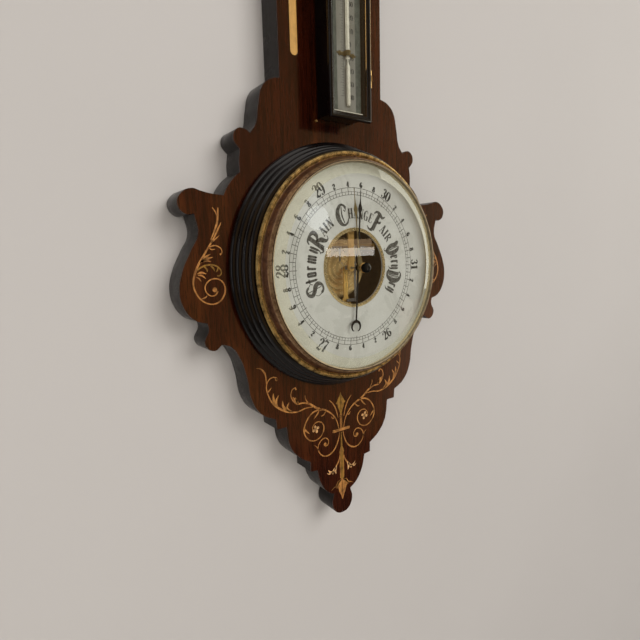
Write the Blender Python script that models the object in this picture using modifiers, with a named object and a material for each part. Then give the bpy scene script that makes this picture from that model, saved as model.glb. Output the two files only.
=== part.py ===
"""Aneroid banjo barometer with a thermometer box, as separate solids.

Metres, +Z up, the front faces -Y and the back lies on the plane Y = 0.
The world origin is the hanging point on the back. Everything is modelled about
the dial's centre, on an empty that hangs DIAL_DROP below that origin. There,
"height" means the distance in front of the case's polished face.
"""

import math

import bmesh
import bpy

MM = 0.001
GAP = 0.3 * MM

# Driving dimensions
DIAL_DROP = 545 * MM
CASE_THICK = 28 * MM
VENEER_THICK = 1.2 * MM
STEM_HALF = 63 * MM
STEM_FOOT = 177.5 * MM
STEM_HEAD = 430 * MM
SURROUND_R = 125 * MM
SURROUND_HIGH = 27 * MM
DIAL_R = 102 * MM
DIAL_HOLE_R = 36.7 * MM
DIAL_FACE = 27 * MM
DIAL_THICK = 2 * MM
GLASS_R = 103.2 * MM
GLASS_FRONT = 42 * MM
GLASS_THICK = 6 * MM
GLASS_EDGE = 2.2 * MM
GLASS_BEVEL = 13.5 * MM
BEZEL_R = 112.3 * MM
BEZEL_LIP_R = 100.2 * MM
INDICATOR_HIGH = 30.6 * MM
SET_HAND_HIGH = 33.6 * MM
INDICATOR_ANGLE = math.radians(3.7)
SET_HAND_ANGLE = math.radians(-4.6)
MOVEMENT_R = 63 * MM
MOVEMENT_BACK = -15.4 * MM
BOX_HALF = 21.5 * MM
BOX_FOOT = 146 * MM
BOX_HEAD = 402 * MM
BOX_HIGH = 24 * MM
DOOR_OVERHANG = 3.5 * MM
DOOR_FRONT = 28.5 * MM
DOOR_BAR = 5 * MM

ROUND_STEPS = 40
SMALL_STEPS = 16

# The right half of the case outline, in millimetres about the dial's centre.
# Each run is smooth inside, and meets the next run in a corner.
FOOT_RUNS = [
    [(0, -278), (9, -275), (14, -264), (11.5, -252.5)],
    [(11.5, -252.5), (21, -246), (29, -234), (33.5, -217.5)],
    [(33.5, -217.5), (42, -216.5)],
    [(42, -216.5), (42, -205.5)],
    [(42, -205.5), (56, -196), (66, -182), (70, -159.5)],
    [(70, -159.5), (81, -159.2)],
    [(81, -159.2), (82, -148.5)],
    [(82, -148.5), (97, -140), (107, -124), (111, -101), (117, -81), (126, -68), (134.5, -65)],
    [(134.5, -65), (142.5, -69.5), (150.5, -62), (146, -49.5), (147, -44)],
    [(147, -44), (158, -40), (167, -29), (170.3, -14), (167, 2), (158, 20.5), (150.5, 35), (153, 52)],
    [(153, 52), (160, 51.4), (167, 60), (163, 69), (154, 73.3), (146, 71.5), (138, 69.8), (125, 68.5)],
    [(125, 68.5), (121, 76), (114, 84.5), (108, 89.5)],
    [(108, 89.5), (108.3, 98), (106.8, 109.5)],
]
KNOB_RUN = [(106.8, 109.5), (112.8, 118), (108.5, 127), (101, 127.5), (96, 124.7)]
SHOULDER_RUN = [(96, 124.7), (90, 133), (86.5, 150), (81.5, 167), (73, 174.5), (63, 177.5)]
CREST_RUNS = [
    [(106.8, 498), (92, 502), (74, 513), (61, 530), (53, 549)],
    [(53, 549), (44, 550)],
    [(44, 550), (43, 560)],
    [(43, 560), (39, 574), (24, 586), (0, 591)],
]


def clear_scene():
    for obj in list(bpy.data.objects):
        bpy.data.objects.remove(obj, do_unlink=True)


def new_collection(name, hidden):
    made = bpy.data.collections.new(name)
    made.hide_render = hidden
    bpy.context.scene.collection.children.link(made)
    return made


def make_material(name, colour, roughness, metallic):
    made = bpy.data.materials.new(name)
    made.use_nodes = True
    shader = made.node_tree.nodes["Principled BSDF"]
    shader.inputs["Base Color"].default_value = (*colour, 1)
    shader.inputs["Roughness"].default_value = roughness
    shader.inputs["Metallic"].default_value = metallic
    return made


clear_scene()
PARTS = new_collection("aneroid_banjo_barometer", False)
CUTTERS = new_collection("cutters", True)

ROSEWOOD = make_material("rosewood", (0.10, 0.03, 0.015), 0.25, 0)
EBONISED = make_material("ebonised_wood", (0.015, 0.014, 0.013), 0.35, 0)
BOXWOOD = make_material("boxwood", (0.55, 0.27, 0.07), 0.4, 0)
GILT_BRASS = make_material("gilt_brass", (0.60, 0.42, 0.16), 0.35, 1)
BRASS = make_material("movement_brass", (0.65, 0.45, 0.18), 0.3, 1)
STEEL = make_material("steel", (0.55, 0.55, 0.55), 0.3, 1)
BLUED = make_material("blued_steel", (0.03, 0.04, 0.08), 0.25, 1)
BLACK_BRASS = make_material("blackened_brass", (0.03, 0.03, 0.03), 0.4, 1)
GLASS = make_material("glass", (0.9, 0.95, 0.92), 0.02, 0)
OPAL = make_material("opal_glass", (0.85, 0.85, 0.80), 0.2, 0)
CAPSULE_METAL = make_material("nickel_silver", (0.7, 0.66, 0.55), 0.3, 1)


def new_empty(name, location, parent=None, turn=(0, 0, 0)):
    made = bpy.data.objects.new(name, None)
    made.location = location
    made.rotation_euler = turn
    made.parent = parent
    PARTS.objects.link(made)
    return made


def front(x, z, height):
    """A point about the dial's centre, at a height in front of the polished face."""
    return (x, -CASE_THICK - height, z)


DIAL_CENTRE = new_empty("dial_centre", (0, 0, -DIAL_DROP))
TO_FRONT = (math.pi / 2, 0, 0)


def place(obj, material, location=(0, 0, 0), turn=(0, 0, 0), parent=None, smooth=True):
    """Puts the object on the bench; a cutter has no material and goes with the cutters."""
    obj.location = location
    obj.rotation_euler = turn
    obj.parent = parent or DIAL_CENTRE
    if material:
        PARTS.objects.link(obj)
        obj.data.materials.append(material)
    else:
        CUTTERS.objects.link(obj)
        obj.hide_render = True
        obj.display_type = "WIRE"
    if smooth and obj.type == "MESH":
        obj.data.shade_smooth()
        obj.data.set_sharp_from_angle(angle=math.radians(35))
    return obj


def mesh_object(name, build):
    mesh = bpy.data.meshes.new(name)
    shape = bmesh.new()
    build(shape)
    shape.to_mesh(mesh)
    shape.free()
    return bpy.data.objects.new(name, mesh)


def box(name, size, centre, material, parent=None, round_by=0):
    def build(shape):
        bmesh.ops.create_cube(shape, size=1)
        bmesh.ops.scale(shape, vec=size, verts=shape.verts)

    made = place(mesh_object(name, build), material, centre, parent=parent, smooth=False)
    if round_by:
        bevel = made.modifiers.new("rounded_edges", "BEVEL")
        bevel.width = round_by
        bevel.segments = 1
    return made


def rod(name, radius, low, high, material, parent=None, steps=SMALL_STEPS):
    """A round bar between two points."""
    run = [b - a for a, b in zip(low, high)]
    length = math.hypot(*run)

    def build(shape):
        bmesh.ops.create_cone(shape, cap_ends=True, segments=steps,
                              radius1=radius, radius2=radius, depth=length)

    middle = [(a + b) / 2 for a, b in zip(low, high)]
    lean = math.acos(run[2] / length)
    swing = math.atan2(run[1], run[0])
    return place(mesh_object(name, build), material, middle, (0, lean, swing), parent)


def turned(name, profile, material, location=(0, 0, 0), parent=None,
           steps=ROUND_STEPS, turn=TO_FRONT, ring=True):
    """A turned piece: (radius, height) points about the axis that points to the front.

    A ring's profile is a closed loop. Any other profile runs from its front end
    on the axis to its back end on the axis.
    """
    points = list(profile)
    if ring:
        pairs = zip(points, points[1:] + points[:1])
        if sum(a[0] * b[1] - b[0] * a[1] for a, b in pairs) > 0:
            points.reverse()

    def build(shape):
        verts = [shape.verts.new((radius, 0, height)) for radius, height in points]
        for first, second in zip(verts, verts[1:] + verts[:1] if ring else verts[1:]):
            shape.edges.new((first, second))

    made = place(mesh_object(name, build), material, location, turn, parent, smooth=False)
    screw = made.modifiers.new("turned", "SCREW")
    screw.steps = screw.render_steps = steps
    screw.use_merge_vertices = True
    screw.merge_threshold = 0.01 * MM
    screw.use_smooth_shade = True
    return made


def arc(centre, radius, start, end, count):
    """Points on an arc, in (radius, height) or (x, z), with its angles in degrees."""
    angles = [math.radians(start + (end - start) * i / count) for i in range(count + 1)]
    return [(centre[0] + radius * math.cos(a), centre[1] + radius * math.sin(a)) for a in angles]


def curve_to_mesh(obj):
    """The curve's solid as a mesh object in its place, with the caps welded on."""
    bpy.context.view_layer.update()
    graph = bpy.context.evaluated_depsgraph_get()
    mesh = bpy.data.meshes.new_from_object(obj.evaluated_get(graph))
    shape = bmesh.new()
    shape.from_mesh(mesh)
    bmesh.ops.remove_doubles(shape, verts=shape.verts, dist=0.01 * MM)
    shape.to_mesh(mesh)
    shape.free()
    name = obj.name
    obj.name = name + "_curve"
    made = bpy.data.objects.new(name, mesh)
    made.matrix_world = obj.matrix_world.copy()
    for group in obj.users_collection:
        group.objects.link(made)
    made.hide_render = obj.hide_render
    made.display_type = "WIRE" if obj.hide_render else "TEXTURED"
    bpy.data.objects.remove(obj, do_unlink=True)
    return made


def plate(name, splines, back, thick, material, parent=None, resolution=3):
    """A flat piece cut to an outline, its back at a height and facing the front.

    Each spline is a closed list of (x, z, is_corner); the second and later ones are holes.
    """
    curve = bpy.data.curves.new(name, "CURVE")
    curve.dimensions = "2D"
    curve.fill_mode = "BOTH"
    curve.extrude = thick / 2
    curve.resolution_u = resolution
    for points in splines:
        straight = all(is_corner for x, z, is_corner in points)
        spline = curve.splines.new("POLY" if straight else "BEZIER")
        spline.use_cyclic_u = True
        if straight:
            spline.points.add(len(points) - 1)
            for knot, (x, z, is_corner) in zip(spline.points, points):
                knot.co = (x, z, 0, 1)
            continue
        spline.bezier_points.add(len(points) - 1)
        for knot, (x, z, is_corner) in zip(spline.bezier_points, points):
            knot.co = (x, z, 0)
            kind = "VECTOR" if is_corner else "AUTO"
            knot.handle_left_type = kind
            knot.handle_right_type = kind
    made = bpy.data.objects.new(name, curve)
    place(made, material, front(0, 0, back + thick / 2), TO_FRONT, parent)
    return curve_to_mesh(made)


def corners(points):
    return [(x, z, True) for x, z in points]


def cut(target, cutter, operation="DIFFERENCE"):
    modifier = target.modifiers.new(operation.lower() + "_" + cutter.name, "BOOLEAN")
    modifier.operation = operation
    modifier.object = cutter
    return modifier


def join(target, cutters):
    for piece in cutters:
        cut(target, piece, "UNION")


# The case


def upside_down(run):
    """The run mirrored about the middle of the stem, from its other end."""
    middle = (STEM_FOOT + STEM_HEAD) / MM
    return [(x, middle - z) for x, z in reversed(run)]


def case_outline():
    runs = FOOT_RUNS + [KNOB_RUN, SHOULDER_RUN, [SHOULDER_RUN[-1], (STEM_HALF / MM, STEM_HEAD / MM)]]
    runs += [upside_down(SHOULDER_RUN), upside_down(KNOB_RUN)] + CREST_RUNS
    half = []
    for run in runs:
        half.append((run[0][0] * MM, run[0][1] * MM, True))
        half += [(x * MM, z * MM, False) for x, z in run[1:-1]]
    half[0] = (half[0][0], half[0][1], False)
    top_x, top_z = runs[-1][-1]
    left = [(-x, z, is_corner) for x, z, is_corner in reversed(half[1:])]
    return half + [(top_x * MM, top_z * MM, False)] + left


STRIP_IN, STRIP_OUT = 42 * MM, 50 * MM
STRIP_FOOT, STRIP_HEAD = 200 * MM, 424 * MM


def strip_outline(side, grow):
    """A stringing strip with round ends, beside the thermometer box."""
    middle = side * (STRIP_IN + STRIP_OUT) / 2
    half = (STRIP_OUT - STRIP_IN) / 2 + grow
    low = arc((middle, STRIP_FOOT + half), half, 180, 360, 6)
    high = arc((middle, STRIP_HEAD - half), half, 0, 180, 6)
    return corners(low + high)


def build_case():
    outline = case_outline()
    board_thick = CASE_THICK - VENEER_THICK - GAP
    board = plate("case_board", [outline], -CASE_THICK, board_thick, EBONISED)
    veneer = plate("front_veneer", [outline], -VENEER_THICK, VENEER_THICK, ROSEWOOD)
    well_r = MOVEMENT_R + 2.5 * MM
    well = rod("movement_well", well_r, front(0, 0, MOVEMENT_BACK - GAP), front(0, 0, 5 * MM),
               None, steps=ROUND_STEPS)
    cut(board, well)
    cut(veneer, well)
    screw_way = rod("screw_way", 8 * MM, front(0, 0, -40 * MM), front(0, 0, -10 * MM), None)
    cut(board, screw_way)
    pocket = box("hanger_pocket", (34 * MM, 8 * MM, 60 * MM), (0, 0, DIAL_DROP), None)
    cut(board, pocket)
    for side, name in ((-1, "left"), (1, "right")):
        slot = plate("strip_slot_" + name, [strip_outline(side, GAP)], -4 * MM, 8 * MM, None)
        cut(veneer, slot)
        plate("boxwood_strip_" + name, [strip_outline(side, 0)], -VENEER_THICK, VENEER_THICK, BOXWOOD)
    return board


def build_hanger(board):
    """A brass keyhole plate, sunk in the back, with its screws in the board."""
    sunk = 1.4 * MM
    thick = 1.6 * MM
    half_w, middle = 13 * MM, 14 * MM
    outline = arc((0, DIAL_DROP + middle), half_w, 0, 180, 8)
    outline += arc((0, DIAL_DROP - middle), half_w, 180, 360, 8)
    hanger = plate("hanger_plate", [corners(outline)], sunk - CASE_THICK, thick, BRASS)
    wide_z, deep = DIAL_DROP - 8 * MM, 9 * MM
    wide = rod("keyhole_wide", 5 * MM, (0, -deep, wide_z), (0, deep, wide_z), None)
    slot = box("keyhole_slot", (4.4 * MM, 2 * deep, 12 * MM), (0, 0, wide_z + 5 * MM), None)
    cut(hanger, wide)
    cut(hanger, slot)
    screw = [(0, 0.8 * MM), (2.6 * MM, 0.6 * MM), (2.6 * MM, 0.1 * MM), (1.3 * MM, 0), (1.3 * MM, -9 * MM),
             (0, -10 * MM)]
    for end, name in ((1, "upper"), (-1, "lower")):
        z = DIAL_DROP + end * 20.5 * MM
        hole = rod("hanger_hole_" + name, 1.3 * MM + GAP, (0, -13 * MM, z), (0, deep, z), None)
        cut(hanger, hole)
        cut(board, hole)
        turned("hanger_screw_" + name, screw, STEEL, (0, 0.1 * MM - sunk, z), steps=12,
               turn=(-math.pi / 2, 0, 0), ring=False)


# The dial, its surround and its glass


def build_surround():
    """An ebonised turned drum with four reeds that step in towards the bezel."""
    reeds = 4
    foot = GAP
    foot_r, head_r = SURROUND_R, BEZEL_R + 1 * MM
    rise = (SURROUND_HIGH - foot) / reeds
    step = (foot_r - head_r) / reeds
    outer = []
    for i in range(reeds):
        low = foot + i * rise
        radius = foot_r - i * step - 3 * MM
        outer += arc((radius, low + rise / 2), 3.1 * MM, -68, 68, 3)
    inner_r = GLASS_R + 2.6 * MM
    profile = [(inner_r, foot), (SURROUND_R - 2 * MM, foot)] + outer
    profile += [(head_r - 3 * MM, SURROUND_HIGH - GAP), (inner_r, SURROUND_HIGH - GAP)]
    turned("dial_surround", profile, EBONISED, front(0, 0, 0))


def build_bezel():
    low = SURROUND_HIGH + GAP
    lip = GLASS_FRONT - 1 * MM
    bead = arc((BEZEL_R - 2.2 * MM, low + 2.6 * MM), 2.3 * MM, -50, 130, 4)
    profile = [(GLASS_R + 0.5 * MM, low)] + bead
    profile += [(BEZEL_R - 5.6 * MM, low + 4.3 * MM), (GLASS_R + 1.9 * MM, lip - 2.6 * MM)]
    profile += arc((BEZEL_LIP_R + 1.6 * MM, lip - 0.9 * MM), 1.5 * MM, 60, 170, 2)
    glass_edge_front = GLASS_FRONT - GLASS_THICK + GLASS_EDGE
    profile += [(BEZEL_LIP_R, glass_edge_front + GAP + 0.9 * MM),
                (GLASS_R + 0.5 * MM, glass_edge_front + 0.5 * MM)]
    bezel = turned("bezel", profile, GILT_BRASS, front(0, 0, 0))
    pin_r = BEZEL_R - 5.2 * MM
    pin_foot = low + 3.9 * MM
    for angle in (90, 210, 330):
        x = pin_r * math.cos(math.radians(angle))
        z = pin_r * math.sin(math.radians(angle))
        profile = [(0, 1.5 * MM), (0.8 * MM, 1.3 * MM), (1.1 * MM, 0.9 * MM), (1.1 * MM, -2 * MM),
                   (0, -2 * MM)]
        turned("bezel_pin_%03d" % angle, profile, GILT_BRASS, front(x, z, pin_foot),
               steps=10, ring=False)
        hole = rod("bezel_pin_hole_%03d" % angle, 1.1 * MM + GAP, front(x, z, pin_foot - 2.5 * MM),
                   front(x, z, pin_foot + 4 * MM), None, steps=10)
        cut(bezel, hole)


def build_glass():
    back = GLASS_FRONT - GLASS_THICK
    hole_r = 2.6 * MM
    profile = [(hole_r, GLASS_FRONT), (GLASS_R - GLASS_BEVEL, GLASS_FRONT),
               (GLASS_R, back + GLASS_EDGE), (GLASS_R, back), (hole_r, back)]
    turned("bevelled_glass", profile, GLASS, front(0, 0, 0))


def build_dial():
    back = DIAL_FACE - DIAL_THICK
    profile = [(DIAL_HOLE_R, DIAL_FACE), (DIAL_R, DIAL_FACE), (DIAL_R, back), (DIAL_HOLE_R, back)]
    turned("dial_plate", profile, OPAL, front(0, 0, 0))
    rim = [(DIAL_HOLE_R - 0.4 * MM, DIAL_FACE + 0.8 * MM), (DIAL_HOLE_R + 1.4 * MM, DIAL_FACE + 1.1 * MM),
           (DIAL_HOLE_R + 3 * MM, DIAL_FACE + GAP), (DIAL_HOLE_R - 0.4 * MM, DIAL_FACE + GAP)]
    turned("dial_centre_ring", rim, GILT_BRASS, front(0, 0, 0))
    spacer_in, spacer_out = DIAL_R - 0.4 * MM, GLASS_R
    spacer_front = GLASS_FRONT - GLASS_THICK - GAP
    spacer = [(spacer_in, spacer_front), (spacer_out, spacer_front), (spacer_out, DIAL_FACE + GAP),
              (spacer_in, DIAL_FACE + GAP)]
    turned("glass_spacer_ring", spacer, GILT_BRASS, front(0, 0, 0))


# The movement


PILLAR_FOOT = -12.1 * MM
COCK_HIGH = 19 * MM


def build_movement_case():
    """A brass cup with a wide rim, which carries the dial and the bezel."""
    wall = 1.2 * MM
    rim_front = DIAL_FACE - DIAL_THICK - GAP
    floor = MOVEMENT_BACK
    profile = [(9 * MM, floor + wall), (MOVEMENT_R - wall, floor + wall),
               (MOVEMENT_R - wall, rim_front), (GLASS_R + 1.5 * MM, rim_front),
               (GLASS_R + 1.5 * MM, rim_front - wall), (MOVEMENT_R, rim_front - wall),
               (MOVEMENT_R, floor), (9 * MM, floor)]
    turned("movement_case", profile, BRASS, front(0, 0, 0))
    base_r = MOVEMENT_R - 3 * MM
    base = [(3.6 * MM, PILLAR_FOOT - GAP), (base_r, PILLAR_FOOT - GAP),
            (base_r, PILLAR_FOOT - 1.8 * MM), (3.6 * MM, PILLAR_FOOT - 1.8 * MM)]
    turned("base_plate", base, BRASS, front(0, 0, 0))


def capsule_profile(radius, back, high, ridges):
    """Two corrugated skins that meet in a rolled rim, on a short boss."""
    middle = back + high / 2
    hub_r = 5 * MM
    flat = high / 2 - 0.6 * MM
    skin = []
    count = ridges * 3
    for i in range(count + 1):
        t = i / count
        swell = 0.7 * MM * math.cos(2 * math.pi * ridges * t)
        skin.append((hub_r + (radius - 3 * MM - hub_r) * t, flat - 1.2 * MM * t + swell))
    upper = [(r, middle + h) for r, h in skin]
    lower = [(radius - 3 * MM, middle - flat + 1.2 * MM), (hub_r, middle - flat)]
    rim = [(radius, middle + 0.9 * MM), (radius, middle - 0.9 * MM)]
    return [(0, upper[0][1])] + upper + rim + lower + [(4 * MM, PILLAR_FOOT), (0, PILLAR_FOOT)]


def build_capsule():
    profile = capsule_profile(32 * MM, -5 * MM, 10 * MM, 4)
    turned("aneroid_capsule", profile, CAPSULE_METAL, front(0, 0, 0), steps=32, ring=False)


def build_spring():
    """The gilt leaf spring, from its foot below the capsule to the capsule's centre."""
    leaf_back = 9.6 * MM
    outline = [(-7, -50), (7, -50), (7, -38), (2.6, -30), (2.6, 1), (-2.6, 1), (-2.6, -30), (-7, -38)]
    outline = [(x * MM, z * MM) for x, z in outline]
    leaf = plate("main_spring", [corners(outline)], leaf_back, 1.2 * MM, BRASS)
    stud = [(0, leaf_back - GAP), (1.4 * MM, leaf_back - GAP), (1.4 * MM, 5.4 * MM), (0, 5.4 * MM)]
    turned("capsule_stud", stud, STEEL, front(0, -1 * MM, 0), steps=12, ring=False)
    box("spring_post", (12 * MM, leaf_back - GAP - PILLAR_FOOT, 9 * MM),
        front(0, -45 * MM, (leaf_back - GAP + PILLAR_FOOT) / 2), BRASS, round_by=0.6 * MM)
    for x in (-4 * MM, 4 * MM):
        name = "spring_screw_left" if x < 0 else "spring_screw_right"
        hole = rod(name + "_hole", 1.3 * MM, front(x, -45 * MM, leaf_back - 1 * MM),
                   front(x, -45 * MM, leaf_back + 3 * MM), None, steps=12)
        cut(leaf, hole)
        turned(name, [(0, leaf_back + 2.3 * MM), (1.6 * MM, leaf_back + 2.2 * MM),
                      (1.9 * MM, leaf_back + 1.5 * MM), (1 * MM, leaf_back + 1.5 * MM),
                      (1 * MM, leaf_back), (0, leaf_back)],
               STEEL, front(x, -45 * MM, 0), steps=12, ring=False)


REGULATOR_Z = 21 * MM
REGULATOR_HIGH = 13 * MM
LEVER_HINGE_Z = -34 * MM


def build_lever():
    """The arm that carries the capsule's movement to the link."""
    pivot = new_empty("lever_axis", front(0, LEVER_HINGE_Z, 12.5 * MM), DIAL_CENTRE)
    long = 42 * MM
    arm = box("main_lever", (2.6 * MM, 1 * MM, long), (11 * MM, 0, long / 2 - 2 * MM), STEEL, pivot)
    foot = box("main_lever_foot", (13 * MM, 1 * MM, 3 * MM), (6 * MM, 0, 0), None, pivot)
    join(arm, [foot])
    rod("link_rod", 0.6 * MM, (11 * MM, -1.6 * MM, long - 5 * MM), (11 * MM, -1.6 * MM, long + 11.2 * MM),
        STEEL, pivot, steps=8)


def build_regulator():
    """The rocking bar: a round arbor between two posts, with a long and a short arm."""
    pivot = new_empty("regulator_axis", front(0, REGULATOR_Z, REGULATOR_HIGH), DIAL_CENTRE)
    half = 23 * MM
    bar = rod("regulator_bar", 1.3 * MM, (-half, 0, 0), (half, 0, 0), STEEL, pivot, steps=12)
    long_arm = box("regulator_long_arm", (1.6 * MM, 1.2 * MM, 15 * MM), (-9 * MM, 0, -7 * MM), None, pivot)
    short_arm = box("regulator_short_arm", (2.4 * MM, 4.6 * MM, 1.4 * MM), (13.1 * MM, -2 * MM, 0), None,
                    pivot)
    join(bar, [long_arm, short_arm])
    for side, name in ((-1, "left"), (1, "right")):
        high = REGULATOR_HIGH + 3 * MM
        post = box("regulator_post_" + name, (3 * MM, high - PILLAR_FOOT, 7 * MM),
                   front(side * (half + 12.5 * MM), REGULATOR_Z, (high + PILLAR_FOOT) / 2), BRASS,
                   round_by=0.5 * MM)
        rod("regulator_pivot_" + name, 0.7 * MM,
            front(side * (half + GAP), REGULATOR_Z, REGULATOR_HIGH),
            front(side * (half + 14.6 * MM), REGULATOR_Z, REGULATOR_HIGH), STEEL, steps=8)
        hole = rod("regulator_hole_" + name, 0.7 * MM + GAP,
                   front(side * (half + 6 * MM), REGULATOR_Z, REGULATOR_HIGH),
                   front(side * (half + 20 * MM), REGULATOR_Z, REGULATOR_HIGH), None, steps=8)
        cut(post, hole)


def build_arbor_cock():
    """A narrow bridge that holds the front bearing of the hand arbor."""
    thick = 1.5 * MM
    outline = arc((0, 0), 4 * MM, 188, 352, 6) + [(3.4 * MM, 20 * MM), (5 * MM, 48 * MM), (-5 * MM, 48 * MM),
                                                (-3.4 * MM, 20 * MM)]
    cock = plate("arbor_cock", [corners(outline)], COCK_HIGH, thick, BRASS)
    bearing = rod("arbor_bearing", 1 * MM + GAP, front(0, 0, COCK_HIGH - 3 * MM),
                  front(0, 0, COCK_HIGH + 4 * MM), None, steps=12)
    cut(cock, bearing)
    rod("cock_pillar", 3 * MM, front(0, 44 * MM, PILLAR_FOOT), front(0, 44 * MM, COCK_HIGH - GAP), BRASS)
    screw_hole = rod("cock_screw_hole", 1.3 * MM, front(0, 44 * MM, COCK_HIGH - 0.2 * MM),
                     front(0, 44 * MM, COCK_HIGH + 3 * MM), None, steps=12)
    cut(cock, screw_hole)
    top = COCK_HIGH + thick
    turned("cock_screw", [(0, top + 1.2 * MM), (2 * MM, top + 1 * MM), (2.1 * MM, top + GAP),
                          (1 * MM, top + GAP), (1 * MM, COCK_HIGH), (0, COCK_HIGH)],
           STEEL, front(0, 44 * MM, 0), steps=12, ring=False)


def spiral(turns, first_r, last_r, count):
    return [(first_r + (last_r - first_r) * i / count, 2 * math.pi * turns * i / count)
            for i in range(count + 1)]


def wire(name, points, radius, material, parent=None):
    """A round wire through its points."""
    curve = bpy.data.curves.new(name, "CURVE")
    curve.dimensions = "3D"
    curve.bevel_depth = radius
    curve.bevel_resolution = 0
    curve.use_fill_caps = True
    spline = curve.splines.new("POLY")
    spline.points.add(len(points) - 1)
    for knot, point in zip(spline.points, points):
        knot.co = (*point, 1)
    return place(bpy.data.objects.new(name, curve), material, parent=parent)


def build_spring_and_chain():
    """The hairspring under the cock, and the fine chain from the long arm to the arbor."""
    height = COCK_HIGH - 1.6 * MM
    coils = [front(r * math.cos(a), r * math.sin(a), height) for r, a in spiral(3, 3.4 * MM, 8.5 * MM, 54)]
    wire("hairspring", coils, 0.16 * MM, BLUED)
    chain = [(-9 * MM, 6.2 * MM, 15.2 * MM), (-7.5 * MM, 3.6 * MM, 15.2 * MM), (-5 * MM, 1.2 * MM, 15 * MM),
             (-2.4 * MM, -1 * MM, 14.8 * MM)]
    wire("fusee_chain", [front(*point) for point in chain], 0.35 * MM, STEEL)


def build_adjusting_screw():
    """The screw behind the capsule, turned through the hole in the back."""
    pivot = new_empty("adjusting_screw_axis", front(0, 0, 0), DIAL_CENTRE)
    back = -22.5 * MM
    profile = [(0, PILLAR_FOOT - 0.5 * MM), (2.2 * MM, PILLAR_FOOT - 0.5 * MM), (2.2 * MM, back + 3 * MM),
               (5 * MM, back + 2.6 * MM), (5 * MM, back + 0.4 * MM), (4.6 * MM, back), (0, back)]
    screw = turned("adjusting_screw", profile, STEEL, parent=pivot, steps=20, ring=False)
    slot = box("adjusting_slot", (12 * MM, 2 * MM, 1 * MM), (0, -back, 0), None, pivot)
    cut(screw, slot)


# The hands


def hand_outline(length, neck_r, swell_at, swell_half, shaft_half):
    """The right half of a spear-shaped hand, from the hub to its tip."""
    return [(shaft_half * 1.4, neck_r), (shaft_half, 0.45 * swell_at), (shaft_half * 0.8, swell_at - 9 * MM),
            (swell_half * 0.45, swell_at - 5 * MM), (swell_half, swell_at),
            (swell_half * 0.4, swell_at + 5 * MM), (0.35 * MM, swell_at + 9 * MM), (0.2 * MM, length)]


def mirrored(half):
    return half + [(-x, z) for x, z in reversed(half)]


def build_indicator():
    """The blued hand, its crescent tail, and the arbor that turns it."""
    pivot = new_empty("indicator_axis", front(0, 0, 0), DIAL_CENTRE, (0, INDICATOR_ANGLE, 0))
    hub_r = 3.4 * MM
    spear = mirrored(hand_outline(75 * MM, 3 * MM, 58 * MM, 2.3 * MM, 1.05 * MM))
    thick = 0.7 * MM
    hand = plate("indicator_hand", [corners(spear)], 0, thick, BLUED)
    crescent_z, crescent_r = -58.8 * MM, 6.4 * MM
    tail_top = crescent_z + crescent_r - 1.2 * MM
    tail = plate("indicator_tail", [corners([(-0.8 * MM, tail_top), (0.8 * MM, tail_top), (1.2 * MM, -2 * MM),
                                             (-1.2 * MM, -2 * MM)])], 0, thick, None)
    horns = arc((0, crescent_z), crescent_r, -52, 232, 16)
    inside = arc((0, crescent_z - 1.1 * MM), crescent_r - 1.9 * MM, 238, -58, 14)
    crescent = plate("indicator_crescent", [corners(horns + inside)], 0, thick, None)
    hub = rod("indicator_hub", hub_r, front(0, 0, 0), front(0, 0, thick), None)
    collar = rod("indicator_collar", 1.9 * MM, front(0, 0, -2.2 * MM), front(0, 0, thick + 0.8 * MM), None)
    for piece in (hand, tail, crescent, hub, collar):
        piece.parent = None
        turn_about_axis(piece, pivot, INDICATOR_HIGH)
    join(hand, [tail, crescent, hub, collar])
    arbor = [(0, INDICATOR_HIGH - 2.5 * MM), (0.9 * MM, INDICATOR_HIGH - 2.5 * MM), (0.9 * MM, 17.6 * MM),
             (2.4 * MM, 17.4 * MM), (2.4 * MM, 17 * MM), (1.5 * MM, 16.6 * MM), (1.5 * MM, 13.4 * MM),
             (2.4 * MM, 13 * MM), (2.4 * MM, 12.6 * MM), (0.9 * MM, 12.4 * MM), (0, 12.4 * MM)]
    turned("hand_arbor", arbor, STEEL, parent=pivot, steps=16, ring=False)


def turn_about_axis(piece, pivot, height):
    """Moves a flat piece made at the face to a height on a pivot."""
    piece.parent = pivot
    piece.location = (0, piece.location[1] + CASE_THICK - height, 0)


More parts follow.
